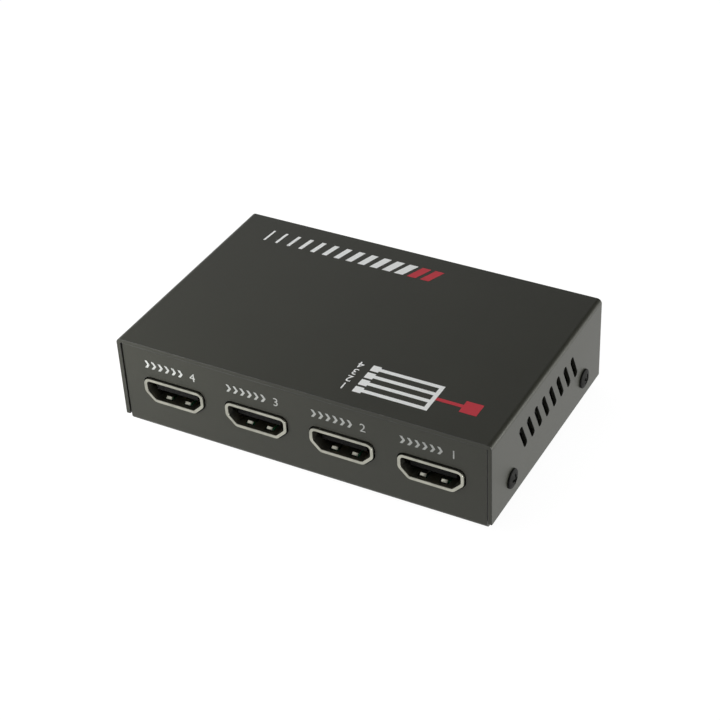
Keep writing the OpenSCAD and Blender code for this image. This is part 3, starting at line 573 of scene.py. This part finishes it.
def rounding_share(side, rounding):
    """Share of a rounding that an edge takes: less beside a step, none if flat or cramped."""
    if len(side.link_faces) != 2 or side.calc_face_angle() < SHARP_ANGLE:
        return 0.0
    room = rounding
    for vertex in side.verts:
        along = side.other_vert(vertex).co - vertex.co
        for other in vertex.link_edges:
            way = other.other_vert(vertex).co - vertex.co
            turn = along.angle(way, 0.0)
            shared = any(face in side.link_faces for face in other.link_faces)
            if other is not side and shared and turn < STRAIGHT_ANGLE:
                room = min(room, ROOM_SHARE * way.length * math.sin(turn))
    middle = (side.verts[0].co + side.verts[1].co) / 2
    for face in side.link_faces:
        for other in face.edges if len(face.edges) <= SMALL_FACE else ():
            start, end = (vertex.co for vertex in other.verts)
            share = intersect_point_line(middle, start, end)[1]
            way = start.lerp(end, min(max(share, 0.0), 1.0)) - middle
            abreast = abs(way.normalized().dot(along.normalized())) < ABREAST_COSINE
            if abreast and not set(other.verts) & set(side.verts):
                room = min(room, ROOM_SHARE * way.length)
    return room / rounding if room > LEAST_SHARE * rounding else 0.0


def level_region(seed):
    """The faces in one plane that join a face, and the edges round them, in a fixed order."""
    region, waiting = {seed: True}, [seed]
    while waiting:
        for side in waiting.pop().edges:
            for face in side.link_faces:
                if face not in region and face.normal.dot(seed.normal) > LEVEL_COSINE:
                    region[face] = True
                    waiting.append(face)
    sides = [side for face in region for side in face.edges]
    return list(region), [side for side in sides if sides.count(side) == 1]


def mend(mesh):
    """Fills each level region anew in which the rounding left a fold, and cleans the mesh."""
    mesh.calc_loop_triangles()
    folded = {
        triangle.polygon_index
        for triangle in mesh.loop_triangles
        if triangle.area > FOLD_AREA
        and triangle.normal.dot(mesh.polygons[triangle.polygon_index].normal) < 0
    }
    shape = bmesh.new()
    shape.from_mesh(mesh)
    shape.faces.ensure_lookup_table()
    for seed in [shape.faces[index] for index in sorted(folded)]:
        if seed.is_valid:
            region, rim = level_region(seed)
            normal, material = seed.normal.copy(), seed.material_index
            bmesh.ops.delete(shape, geom=region, context="FACES")
            filled = bmesh.ops.triangle_fill(
                shape, use_beauty=True, use_dissolve=False, edges=rim, normal=normal
            )
            for face in filled["geom"]:
                if isinstance(face, bmesh.types.BMFace):
                    face.smooth, face.material_index = True, material
    clean(shape, MERGE_DISTANCE / MM)
    shape.to_mesh(mesh)
    shape.free()


def rounded(node, rounding, edge):
    """A node's mesh with its triangles merged into faces and its edges rounded.

    It is worked in millimetres, so that its small steps stay above the tools' tolerances.
    """
    shape = bmesh.new()
    shape.from_mesh(frame["nodes"][node].data)
    bmesh.ops.remove_doubles(shape, verts=shape.verts, dist=MERGE_DISTANCE)
    bmesh.ops.dissolve_limit(shape, angle_limit=FLAT_ANGLE, verts=shape.verts, edges=shape.edges)
    bmesh.ops.scale(shape, vec=Vector((1, 1, 1)) / MM, verts=shape.verts)
    rounding /= MM
    weights = shape.edges.layers.float.new("bevel_weight_edge")
    for side in shape.edges:
        side[weights] = rounding_share(side, rounding)
    slot = SLOT_OF[node]
    materials = [finish(slot)]
    if edge:
        materials.append(finish(edge, getattr(bpy.context.scene.splitter_colours, slot)))
    mesh = evaluated(plain_mesh(shape, node, materials), "BEVEL", {
        "width": rounding, "segments": ROUNDING_STEPS, "limit_method": "WEIGHT",
        "use_clamp_overlap": False, "loop_slide": False, "material": 1 if edge else -1,
    })
    mend(mesh)
    mesh.transform(Matrix.Scale(MM, 4))
    flattened = {"mode": "FACE_AREA", "weight": 100, "keep_sharp": False}
    return evaluated(mesh, "WEIGHTED_NORMAL", flattened)


def dress(kind, *nodes, edge=None):
    """Puts a finished copy in the place of each node, rounded as its kind of piece is."""
    rounding = getattr(bpy.context.scene.splitter_edges, kind)
    for node in nodes:
        piece(node + "_finished", rounded(node, rounding, edge), [node])


def prism(shape, outline, place, thickness):
    """Adds an outline, drawn counter-clockwise on a plane, to a bmesh as a plate."""
    low, high = (
        [shape.verts.new(place @ Vector((u, v, w))) for u, v in outline]
        for w in (0.0, thickness)
    )
    shape.faces.new(reversed(low))
    shape.faces.new(high)
    for i, corner in enumerate(low):
        shape.faces.new((low[i - 1], corner, high[i], high[i - 1]))


def plate(name, outline, place, thickness, materials=()):
    """The mesh of one prism."""
    shape = bmesh.new()
    prism(shape, outline, place, thickness)
    return plain_mesh(shape, name, materials)


def revolved(profile, steps=48):
    """A bmesh of a profile of (radius, height) points turned about Z, closed at the axis."""
    shape = bmesh.new()
    rings = []
    for radius, height in profile:
        around = steps if radius > MERGE_DISTANCE else 1
        rings.append([
            shape.verts.new((radius * math.cos(turn), radius * math.sin(turn), height))
            for turn in (math.tau * k / steps for k in range(around))
        ])
    for lower, upper in zip(rings, rings[1:]):
        for k in range(steps):
            corners = [
                lower[k % len(lower)], lower[(k + 1) % len(lower)],
                upper[(k + 1) % len(upper)], upper[k % len(upper)],
            ]
            shape.faces.new(list(dict.fromkeys(corners)))
    clean(shape)
    return shape


def numeral(shape, text, height, place, thickness):
    """Adds a numeral of this height to a bmesh, centred on a plane."""
    font = bpy.data.curves.new("numeral", "FONT")
    font.body = text
    font.extrude = 0.5
    mesh = evaluated(font)
    corners = [vertex.co for vertex in mesh.vertices]
    low = Vector(map(min, *corners))
    high = Vector(map(max, *corners))
    scale = height / (high.y - low.y)
    fit = Matrix.Diagonal((scale, scale, thickness / (high.z - low.z), 1.0))
    middle = Matrix.Translation((-(low.x + high.x) / 2, -(low.y + high.y) / 2, -low.z))
    mesh.transform(place @ fit @ middle)
    shape.from_mesh(cleaned(mesh))


def placed(origin, right, up):
    """Matrix of a plane at origin with these directions, for drawing on a face."""
    right, up = Vector(right), Vector(up)
    matrix = Matrix((right, up, right.cross(up))).transposed().to_4x4()
    matrix.translation = origin
    return matrix


def on_front(x, z):
    """Plane on the front panel, read from the front."""
    return placed((x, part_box("base_tray")[0].y, z), (1, 0, 0), (0, 0, 1))


def on_top(x, y):
    """Plane on the cover, read from the back."""
    return placed((x, y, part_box("top_cover")[1].z), (-1, 0, 0), (0, -1, 0))


# Geometry Nodes trees

def new_tree(name, inputs):
    """A tree with named inputs, each given with its kind, and their values in it by name."""
    tree = Tree(bpy.data.node_groups.new(name, "GeometryNodeTree"))
    for socket, kind in inputs.items():
        tree.tree.interface.new_socket(socket, in_out="INPUT", socket_type="NodeSocket" + kind)
    tree.tree.interface.new_socket("Result", in_out="OUTPUT", socket_type="NodeSocketGeometry")
    given = tree.node("NodeGroupInput").outputs
    return tree, {name: Value(tree, given[name]) for name in inputs}


def repeat_tree():
    """Repeats a mesh along a row, shrinking to its end, and the row along a second row."""
    made = bpy.data.node_groups.get("Rows of a piece")
    if made:
        return made
    tree, given = new_tree("Rows of a piece", {
        "Piece": "Geometry", "Start": "Vector", "Count": "Int", "Step": "Vector",
        "Last scale": "Vector", "Rows": "Int", "Row step": "Vector", "Material": "Material",
    })
    line = tree.node("GeometryNodeMeshLine", {}, {
        "Count": given["Count"], "Start Location": given["Start"], "Offset": given["Step"],
    })
    index = Value(tree, tree.node("GeometryNodeInputIndex").outputs[0])
    share = index / tree.math("MAXIMUM", given["Count"] - 1.0, 1.0)
    loss = tree.node("ShaderNodeVectorMath", {"operation": "SUBTRACT"}, {
        0: given["Last scale"], 1: (1, 1, 1),
    })
    scale = tree.node("ShaderNodeVectorMath", {"operation": "MULTIPLY_ADD"}, {
        0: loss, 1: share, 2: (1, 1, 1),
    })
    row = tree.node("GeometryNodeInstanceOnPoints", {}, {
        "Points": line, "Instance": given["Piece"], "Scale": scale,
    })
    heads = tree.node("GeometryNodeMeshLine", {}, {
        "Count": given["Rows"], "Offset": given["Row step"],
    })
    rows = tree.node("GeometryNodeInstanceOnPoints", {}, {"Points": heads, "Instance": row})
    return painted_result(tree, rows, given["Material"])


def facing_tree():
    """Sets a mesh on both sides of a case, with its top outwards and each at its own turn."""
    tree, given = new_tree("Facing pairs of a piece", {
        "Piece": "Geometry", "Across": "Float", "Along": "Float", "Height": "Float",
        "Seed": "Int", "Material": "Material",
    })
    start = tree.node("ShaderNodeCombineXYZ", {}, {
        0: 0.5 * given["Across"], 1: -0.5 * given["Along"], 2: given["Height"],
    })
    step = tree.node("ShaderNodeCombineXYZ", {}, {1: given["Along"]})
    sockets = {"Count": 2, "Start Location": start, "Offset": step}
    line = tree.node("GeometryNodeMeshLine", {}, sockets)
    both = tree.node("GeometryNodeJoinGeometry")
    for side in (0, 1):
        pair = tree.node("GeometryNodeInstanceOnPoints", {}, {
            "Points": line, "Instance": given["Piece"], "Rotation": (0.0, math.pi / 2, 0.0),
        })
        stop = tree.node("FunctionNodeRandomValue", {"data_type": "FLOAT"}, {
            2: 0.0, 3: math.pi / 2, "Seed": given["Seed"] + side,
        })
        turn = tree.node("ShaderNodeCombineXYZ", {}, {2: stop.outputs[1]})
        turned = tree.node("GeometryNodeRotateInstances", {}, {"Instances": pair, "Rotation": turn})
        facing = tree.node("GeometryNodeTransform", {}, {
            "Geometry": turned, "Rotation": (0.0, 0.0, side * math.pi),
        })
        tree.feed(both, {0: facing})
    return painted_result(tree, both, given["Material"])


def painted_result(tree, geometry, material):
    """Ends a tree: instances become a mesh, which takes the material."""
    real = tree.node("GeometryNodeRealizeInstances", {}, {0: geometry})
    painted = tree.node("GeometryNodeSetMaterial", {}, {"Geometry": real, "Material": material})
    tree.node("NodeGroupOutput", {}, {0: painted})
    return tree.tree


def repeated(mesh, material, start, number, step, last_scale=(1, 1, 1), rows=1, row_step=(0, 0, 0)):
    """The mesh of a piece repeated in rows."""
    return grown(mesh, repeat_tree(), {
        "Start": Vector(start), "Count": number, "Step": Vector(step),
        "Last scale": Vector(last_scale), "Rows": rows, "Row step": Vector(row_step),
        "Material": material,
    })


# Pieces

def screw_head_radius():
    """Radius of every screw's head, from the height of the row of cover screws."""
    low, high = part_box("cover_screws")
    return (high.z - low.z) / 2


def screw_mesh(settings, head_radius, head_height, shank_length):
    """A pan-head screw along Z, with its head on the zero plane, a recess and a ringed thread."""
    dome = head_height - settings.rim
    sphere = (head_radius ** 2 + dome ** 2) / (2 * dome)
    reach = math.asin((head_radius - settings.rim_round) / sphere)
    profile = [
        (sphere * math.sin(turn), head_height - sphere * (1 - math.cos(turn)))
        for turn in (reach * k / DOME_STEPS for k in range(DOME_STEPS + 1))
    ]
    edge = profile[-1][1]
    for turn in map(math.radians, (30, 60, 90)):
        profile.append((
            head_radius - settings.rim_round * (1 - math.sin(turn)),
            edge - settings.rim_round * (1 - math.cos(turn)),
        ))
    shank = settings.shank_radius
    root = shank - settings.thread_depth
    profile += [(head_radius, HEAD_CHAMFER), (head_radius - HEAD_CHAMFER, 0.0), (shank, 0.0)]
    for k in range(1, int(shank_length / settings.thread_pitch)):
        crest = -k * settings.thread_pitch
        profile += [(root, crest + settings.thread_pitch / 2), (shank, crest)]
    profile += [(root, -shank_length), (0.0, -shank_length)]
    blank = plain_mesh(revolved(profile), "screw_blank")
    cutter = added("cutter", recess_mesh(settings, head_height))
    bpy.context.view_layer.update()
    cut = {"operation": "DIFFERENCE", "object": cutter, "solver": "EXACT"}
    made = cleaned(evaluated(blank, "BOOLEAN", cut))
    bpy.data.objects.remove(cutter)
    made.set_sharp_from_angle(angle=CREASE_ANGLE)
    return made


def recess_mesh(settings, head_height):
    """The tapered cross that is cut into a screw's head."""
    reach, half = settings.recess_length / 2, settings.recess_width / 2
    quarter = [(reach, -half), (reach, half), (half, half)]
    outline = []
    for turn in range(4):
        spin = Matrix.Rotation(turn * math.pi / 2, 2)
        outline += [spin @ Vector(point) for point in quarter]
    shape = bmesh.new()
    floor = head_height - settings.recess_depth
    prism(shape, outline, Matrix.Translation((0, 0, floor)), 2 * settings.recess_depth)
    for vertex in shape.verts:
        share = (head_height - vertex.co.z) / settings.recess_depth
        vertex.co.xy *= 1 + (settings.recess_taper - 1) * share
    return plain_mesh(shape, "recess")


def at_board_screws(mesh):
    """The tin-plated mesh of a piece at each of the board's four screws."""
    low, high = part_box("board_screws")
    radius = screw_head_radius()
    start = (low.x + radius, low.y + radius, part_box("main_board")[1].z)
    across, along = (part - 2 * radius for part in (high - low).xy)
    return repeated(
        mesh, finish("tin_plate"), start, 2, (across, 0, 0), rows=2, row_step=(0, along, 0)
    )


class SPLITTER_OT_case(bpy.types.Operator):
    """Round the edges of the folded cover and tray, and paint them"""

    bl_idname = "splitter.case"
    bl_label = "Case"

    def execute(self, context):
        dress("sheet", "top_cover", "base_tray", edge="case_edge")
        return {"FINISHED"}


class SPLITTER_OT_screws(bpy.types.Operator):
    """Make the cover screws and the board screws with their cross recesses"""

    bl_idname = "splitter.screws"
    bl_label = "Screws"

    def execute(self, context):
        settings = context.scene.splitter_screws
        low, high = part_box("cover_screws")
        radius = screw_head_radius()
        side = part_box("top_cover")[1].x
        master = screw_mesh(settings, radius, high.x - side, settings.cover_length)
        mesh = grown(master, facing_tree(), {
            "Across": 2 * side, "Along": high.y - low.y - 2 * radius,
            "Height": (low.z + high.z) / 2, "Seed": settings.seed,
            "Material": finish("screw_black"),
        })
        piece("cover_screws_finished", mesh, ["cover_screws"])

        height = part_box("board_screws")[1].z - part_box("main_board")[1].z
        master = screw_mesh(settings, radius, height, settings.board_length)
        piece("board_screws_finished", at_board_screws(master), ["board_screws"])
        return {"FINISHED"}


class SPLITTER_OT_sockets(bpy.types.Operator):
    """Plate the socket shells and finish their tongues and contacts"""

    bl_idname = "splitter.sockets"
    bl_label = "Sockets"

    def execute(self, context):
        for pattern in ["input_{}"] + [f"output_{{}}_{port}" for port in PORTS]:
            dress("shell", pattern.format("shell"))
            dress("tongue", pattern.format("tongue"))
            dress("contact", pattern.format("contacts"))
        return {"FINISHED"}


class SPLITTER_OT_power_jack(bpy.types.Operator):
    """Finish the power jack's housing, pin, blade and spring leaf"""

    bl_idname = "splitter.power_jack"
    bl_label = "Power jack"

    def execute(self, context):
        dress("moulding", "dc_jack_housing")
        dress("contact", "dc_jack_pin", "dc_jack_blade", "dc_jack_leaf")
        return {"FINISHED"}


class SPLITTER_OT_lights(bpy.types.Operator):
    """Finish the lights of the back panel and their leads"""

    bl_idname = "splitter.lights"
    bl_label = "Lights"

    def execute(self, context):
        lights = [f"output_light_{port}" for port in PORTS]
        dress("contact", "power_light", *lights, "light_leads")
        return {"FINISHED"}


class SPLITTER_OT_feet(bpy.types.Operator):
    """Round the rubber feet"""

    bl_idname = "splitter.feet"
    bl_label = "Feet"

    def execute(self, context):
        dress("foot", *(f"rubber_foot_{foot}" for foot in FEET))
        return {"FINISHED"}


class SPLITTER_OT_board(bpy.types.Operator):
    """Finish the circuit board and what is soldered to it, and add its pads"""

    bl_idname = "splitter.board"
    bl_label = "Circuit board"

    def execute(self, context):
        dress("chip", "main_board", "splitter_chip", "thermal_pad")
        dress("chip", "power_regulator", "memory_chip")
        dress("contact", "regulator_tab", "memory_leads", "chip_capacitors")
        dress("sink", "heat_sink")
        dress(
            "moulding", "crystal", "power_inductor", "filter_can_1", "filter_can_2",
            "filter_base_1", "filter_base_2", "board_standoffs",
        )
        self.pads(context.scene.splitter_board)
        return {"FINISHED"}

    def pads(self, settings):
        """Plated pads under the tails of the contacts, and rings round the screw holes."""
        first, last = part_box("output_contacts_1"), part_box("output_contacts_4")
        half, inner, outer = settings.pad_width / 2, settings.pad_inner, settings.pad_outer
        outline = [(-half, -inner), (half, -inner), (half, outer), (-half, outer)]
        pad = plate("pad", outline, Matrix.Identity(4), settings.pad_thickness)
        left = (first[0].x + first[1].x) / 2 - (settings.pad_count - 1) / 2 * settings.pad_pitch
        mesh = repeated(
            pad, finish("tin_plate"), (left, first[1].y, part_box("main_board")[1].z),
            settings.pad_count, (settings.pad_pitch, 0, 0),
            rows=len(PORTS), row_step=((last[0].x - first[0].x) / (len(PORTS) - 1), 0, 0),
        )
        piece("solder_pads", mesh)

        inner, outer = settings.ring_inner, screw_head_radius() + settings.ring_width
        ring = revolved([
            (inner, 0.0), (outer, 0.0), (outer, settings.pad_thickness),
            (inner, settings.pad_thickness), (inner, 0.0),
        ])
        piece("screw_hole_rings", at_board_screws(plain_mesh(ring, "ring")))


class SPLITTER_OT_print(bpy.types.Operator):
    """Print the numbers over the sockets, the row of bars and the diagram on the cover"""

    bl_idname = "splitter.print"
    bl_label = "Print"

    def execute(self, context):
        settings = context.scene.splitter_print
        white = finish("white_ink", settings.white)
        red = finish("red_ink", settings.red)
        self.socket_marks(settings, finish("pale_ink", settings.pale))
        self.bar_row(settings, white, red)
        self.diagram(settings, white, red)
        return {"FINISHED"}

    def mark(self, name, mesh):
        """Makes a printed piece, which has no smooth edges."""
        piece(name, mesh).data.shade_flat()

    def socket_marks(self, settings, pale):
        """A numeral over each socket, led up to by a row of chevrons."""
        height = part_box("base_tray")[0].z + settings.label_height
        shape = bmesh.new()
        middles = {}
        for port in PORTS:
            low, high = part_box(f"output_shell_{port}")
            middles[port] = (low.x + high.x) / 2 - settings.label_shift
            right = middles[port] + settings.label_width / 2 - NUMERAL_HALF * settings.numeral
            numeral(shape, str(port), settings.numeral, on_front(right, height), settings.thickness)
        self.mark("socket_numbers", plain_mesh(shape, "numbers", [pale]))

        half_w, half_h = settings.chevron_width / 2, settings.chevron_height / 2
        stroke = settings.chevron_stroke
        outline = [
            (-half_w, -half_h), (stroke - half_w, -half_h), (half_w, 0.0),
            (stroke - half_w, half_h), (-half_w, half_h), (half_w - stroke, 0.0),
        ]
        upright = placed((0, 0, 0), (1, 0, 0), (0, 0, 1))
        chevron = plate("chevron", outline, upright, settings.thickness)
        start = on_front(middles[1] - settings.label_width / 2 + half_w, height).translation
        step = (middles[PORTS[-1]] - middles[1]) / (len(PORTS) - 1)
        mesh = repeated(
            chevron, pale, start, settings.chevron_count, (settings.chevron_pitch, 0, 0),
            rows=len(PORTS), row_step=(step, 0, 0),
        )
        self.mark("socket_chevrons", mesh)

    def bar_row(self, settings, white, red):
        """A row of slanted bars along the cover's back, red at its head and thinning out."""
        half_w, half_h = settings.bar_width / 2, settings.bar_height / 2
        lean = settings.bar_lean / 2
        outline = [
            (-half_w - lean, -half_h), (half_w - lean, -half_h),
            (half_w + lean, half_h), (-half_w + lean, half_h),
        ]
        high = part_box("top_cover")[1]
        head = Vector((settings.bar_aside, high.y - settings.bar_inset, high.z))
        step = Vector((-settings.bar_pitch, 0, 0))
        last = (settings.bar_last, 1, 1)
        lying = placed((0, 0, 0), (-1, 0, 0), (0, -1, 0))
        for name, material, start, number, scale in (
            ("red_bars", red, head, settings.red_bar_count, (1, 1, 1)),
            ("white_bars", white, head + settings.red_bar_count * step, settings.bar_count, last),
        ):
            bar = plate(name, outline, lying, settings.thickness)
            self.mark(name, repeated(bar, material, start, number, step, scale))

    def diagram(self, settings, white, red):
        """One line that fans out to four numbered ends, near the front of the cover."""
        plane = on_top(settings.diagram_aside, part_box("top_cover")[0].y + settings.diagram_inset)
        half, wide, tall = settings.line / 2, settings.source / 2, settings.block / 2
        near, far = -settings.stem, -settings.stem - settings.source
        trunk = [
            (0.0, half), (near, half), (near, wide), (far, wide),
            (far, -wide), (near, -wide), (near, -half), (0.0, -half),
        ]
        self.mark("red_trunk", plate("trunk", trunk, plane, settings.thickness, [red]))

        middle = (len(PORTS) - 1) / 2
        rows = [(middle - k) * settings.row_pitch for k in range(len(PORTS))]
        fork, end, tip = settings.line, settings.branch, settings.branch + settings.block
        shape = bmesh.new()
        comb = [(0.0, rows[0] + half), (0.0, rows[-1] - half)]
        for port, row in reversed(list(zip(PORTS, rows))):
            comb += [
                (fork, row - half), (end, row - half), (end, row - tall), (tip, row - tall),
                (tip, row + tall), (end, row + tall), (end, row + half), (fork, row + half),
            ]
            spot = plane @ Matrix.Translation((end + settings.figure, row, 0))
            numeral(shape, str(port), settings.numeral, spot, settings.thickness)
        prism(shape, dict.fromkeys(comb), plane, settings.thickness)
        self.mark("white_branches", plain_mesh(shape, "branches", [white]))


class SPLITTER_OT_stage(bpy.types.Operator):
    """Set the camera, the lamps, the world and a pale floor that keeps the shadow"""

    bl_idname = "splitter.stage"
    bl_label = "Stage"

    def execute(self, context):
        settings = context.scene.splitter_stage
        context.scene.view_settings.view_transform = "Standard"
        self.camera(context, settings)
        self.floor(settings)
        self.world(context, settings)
        for lamp in LAMPS:
            self.lamp(settings, *lamp)
        return {"FINISHED"}

    def camera(self, context, settings):
        """Aims the camera at the target from an azimuth and elevation, with its roll."""
        turn, rise = settings.azimuth, settings.elevation
        back = Vector((
            math.sin(turn) * math.cos(rise), -math.cos(turn) * math.cos(rise), math.sin(rise)
        ))
        right = Vector((math.cos(turn), math.sin(turn), 0.0))
        up = back.cross(right)
        spin = Matrix.Rotation(settings.roll, 3, back)
        eye = added("camera", bpy.data.cameras.new("camera"))
        eye.matrix_world = Matrix((spin @ right, spin @ up, back)).transposed().to_4x4()
        eye.location = Vector((-settings.aside, 0.0, settings.height)) + back * settings.distance
        eye.data.sensor_width = SENSOR_WIDTH
        eye.data.lens = settings.lens
        eye.data.clip_start = CLIP_START
        context.scene.camera = eye

    def floor(self, settings):
        """A wide floor that is white to the eye and in reflections, but still takes the shadow."""
        shape = bmesh.new()
        bmesh.ops.create_circle(shape, cap_ends=True, segments=FLOOR_SIDES, radius=settings.reach)
        floor = added("floor", plain_mesh(shape, "floor"))
        material = bpy.data.materials.new("floor_white")
        material.use_nodes = True
        tree = Tree(material.node_tree)
        tree.tree.nodes.clear()
        seen = self.seen(tree)
        matte = tree.node("ShaderNodeBsdfDiffuse", {}, {"Color": FLOOR_GREY})
        glow = tree.node("ShaderNodeEmission", {}, {"Color": WHITE, "Strength": settings.glow})
        mixed = tree.node("ShaderNodeMixShader", {}, {0: settings.white * seen, 1: matte, 2: glow})
        tree.node("ShaderNodeOutputMaterial", {}, {"Surface": mixed})
        floor.data.materials.append(material)

    def world(self, context, settings):
        """Soft light, brighter from the left than from the right, and a white backdrop."""
        world = bpy.data.worlds.new("studio")
        world.use_nodes = True
        context.scene.world = world
        tree = Tree(world.node_tree)
        tree.tree.nodes.clear()
        way = tree.node("ShaderNodeTexCoord").outputs["Generated"]
        side, _, height = tree.node("ShaderNodeSeparateXYZ", {}, {0: way}).outputs
        studio = tree.ramp(side, *LEFT_TO_RIGHT, (settings.left, settings.right))
        backdrop = self.seen(tree) * tree.ramp(height, *BACKDROP_EDGE, (1.0, 0.0))
        sky = tree.node("ShaderNodeBackground", {}, {
            "Color": WHITE, "Strength": studio + backdrop * (1.0 - studio),
        })
        tree.node("ShaderNodeOutputWorld", {}, {"Surface": sky})

    def seen(self, tree):
        """1 for the rays that show the background: of the camera, of gloss and through glass."""
        rays = tree.node("ShaderNodeLightPath").outputs
        seen = Value(tree, rays["Is Camera Ray"])
        for kind in ("Is Glossy Ray", "Is Transmission Ray"):
            seen = tree.math("MAXIMUM", seen, rays[kind])
        return seen

    def lamp(self, settings, name, power, spot, size, mirrored):
        """A soft light of a width and height at a spot, which faces the splitter."""
        light = bpy.data.lights.new(name, "AREA")
        light.energy = getattr(settings, power)
        light.shape = "RECTANGLE"
        light.size, light.size_y = size
        lamp = added(name, light)
        lamp.visible_camera = False
        lamp.visible_glossy = mirrored
        lamp.location = spot
        way = Vector((0, 0, settings.height)) - Vector(spot)
        lamp.rotation_euler = way.to_track_quat("-Z", "Y").to_euler()


class SPLITTER_PT_panel(bpy.types.Panel):
    """Lists the operators in the order that they run"""

    bl_idname = "SPLITTER_PT_panel"
    bl_label = "Video Splitter"
    bl_space_type = "VIEW_3D"
    bl_region_type = "UI"
    bl_category = "Splitter"

    def draw(self, context):
        for operator in OPERATORS:
            self.layout.operator(operator.bl_idname)


GROUPS = {
    "splitter_colours": SplitterColours,
    "splitter_edges": SplitterEdges,
    "splitter_screws": SplitterScrews,
    "splitter_print": SplitterPrint,
    "splitter_board": SplitterBoard,
    "splitter_stage": SplitterStage,
}
OPERATORS = (
    SPLITTER_OT_case,
    SPLITTER_OT_screws,
    SPLITTER_OT_sockets,
    SPLITTER_OT_power_jack,
    SPLITTER_OT_lights,
    SPLITTER_OT_feet,
    SPLITTER_OT_board,
    SPLITTER_OT_print,
    SPLITTER_OT_stage,
)


def register():
    for name, group in GROUPS.items():
        bpy.utils.register_class(group)
        setattr(bpy.types.Scene, name, bpy.props.PointerProperty(type=group))
    for operator in OPERATORS:
        bpy.utils.register_class(operator)
    bpy.utils.register_class(SPLITTER_PT_panel)


def unregister():
    bpy.utils.unregister_class(SPLITTER_PT_panel)
    for operator in reversed(OPERATORS):
        bpy.utils.unregister_class(operator)
    for name, group in reversed(GROUPS.items()):
        delattr(bpy.types.Scene, name)
        bpy.utils.unregister_class(group)


def main():
    register()
    for operator in OPERATORS:
        getattr(bpy.ops.splitter, operator.bl_idname.split(".")[1])()


if __name__ == "__main__":
    main()
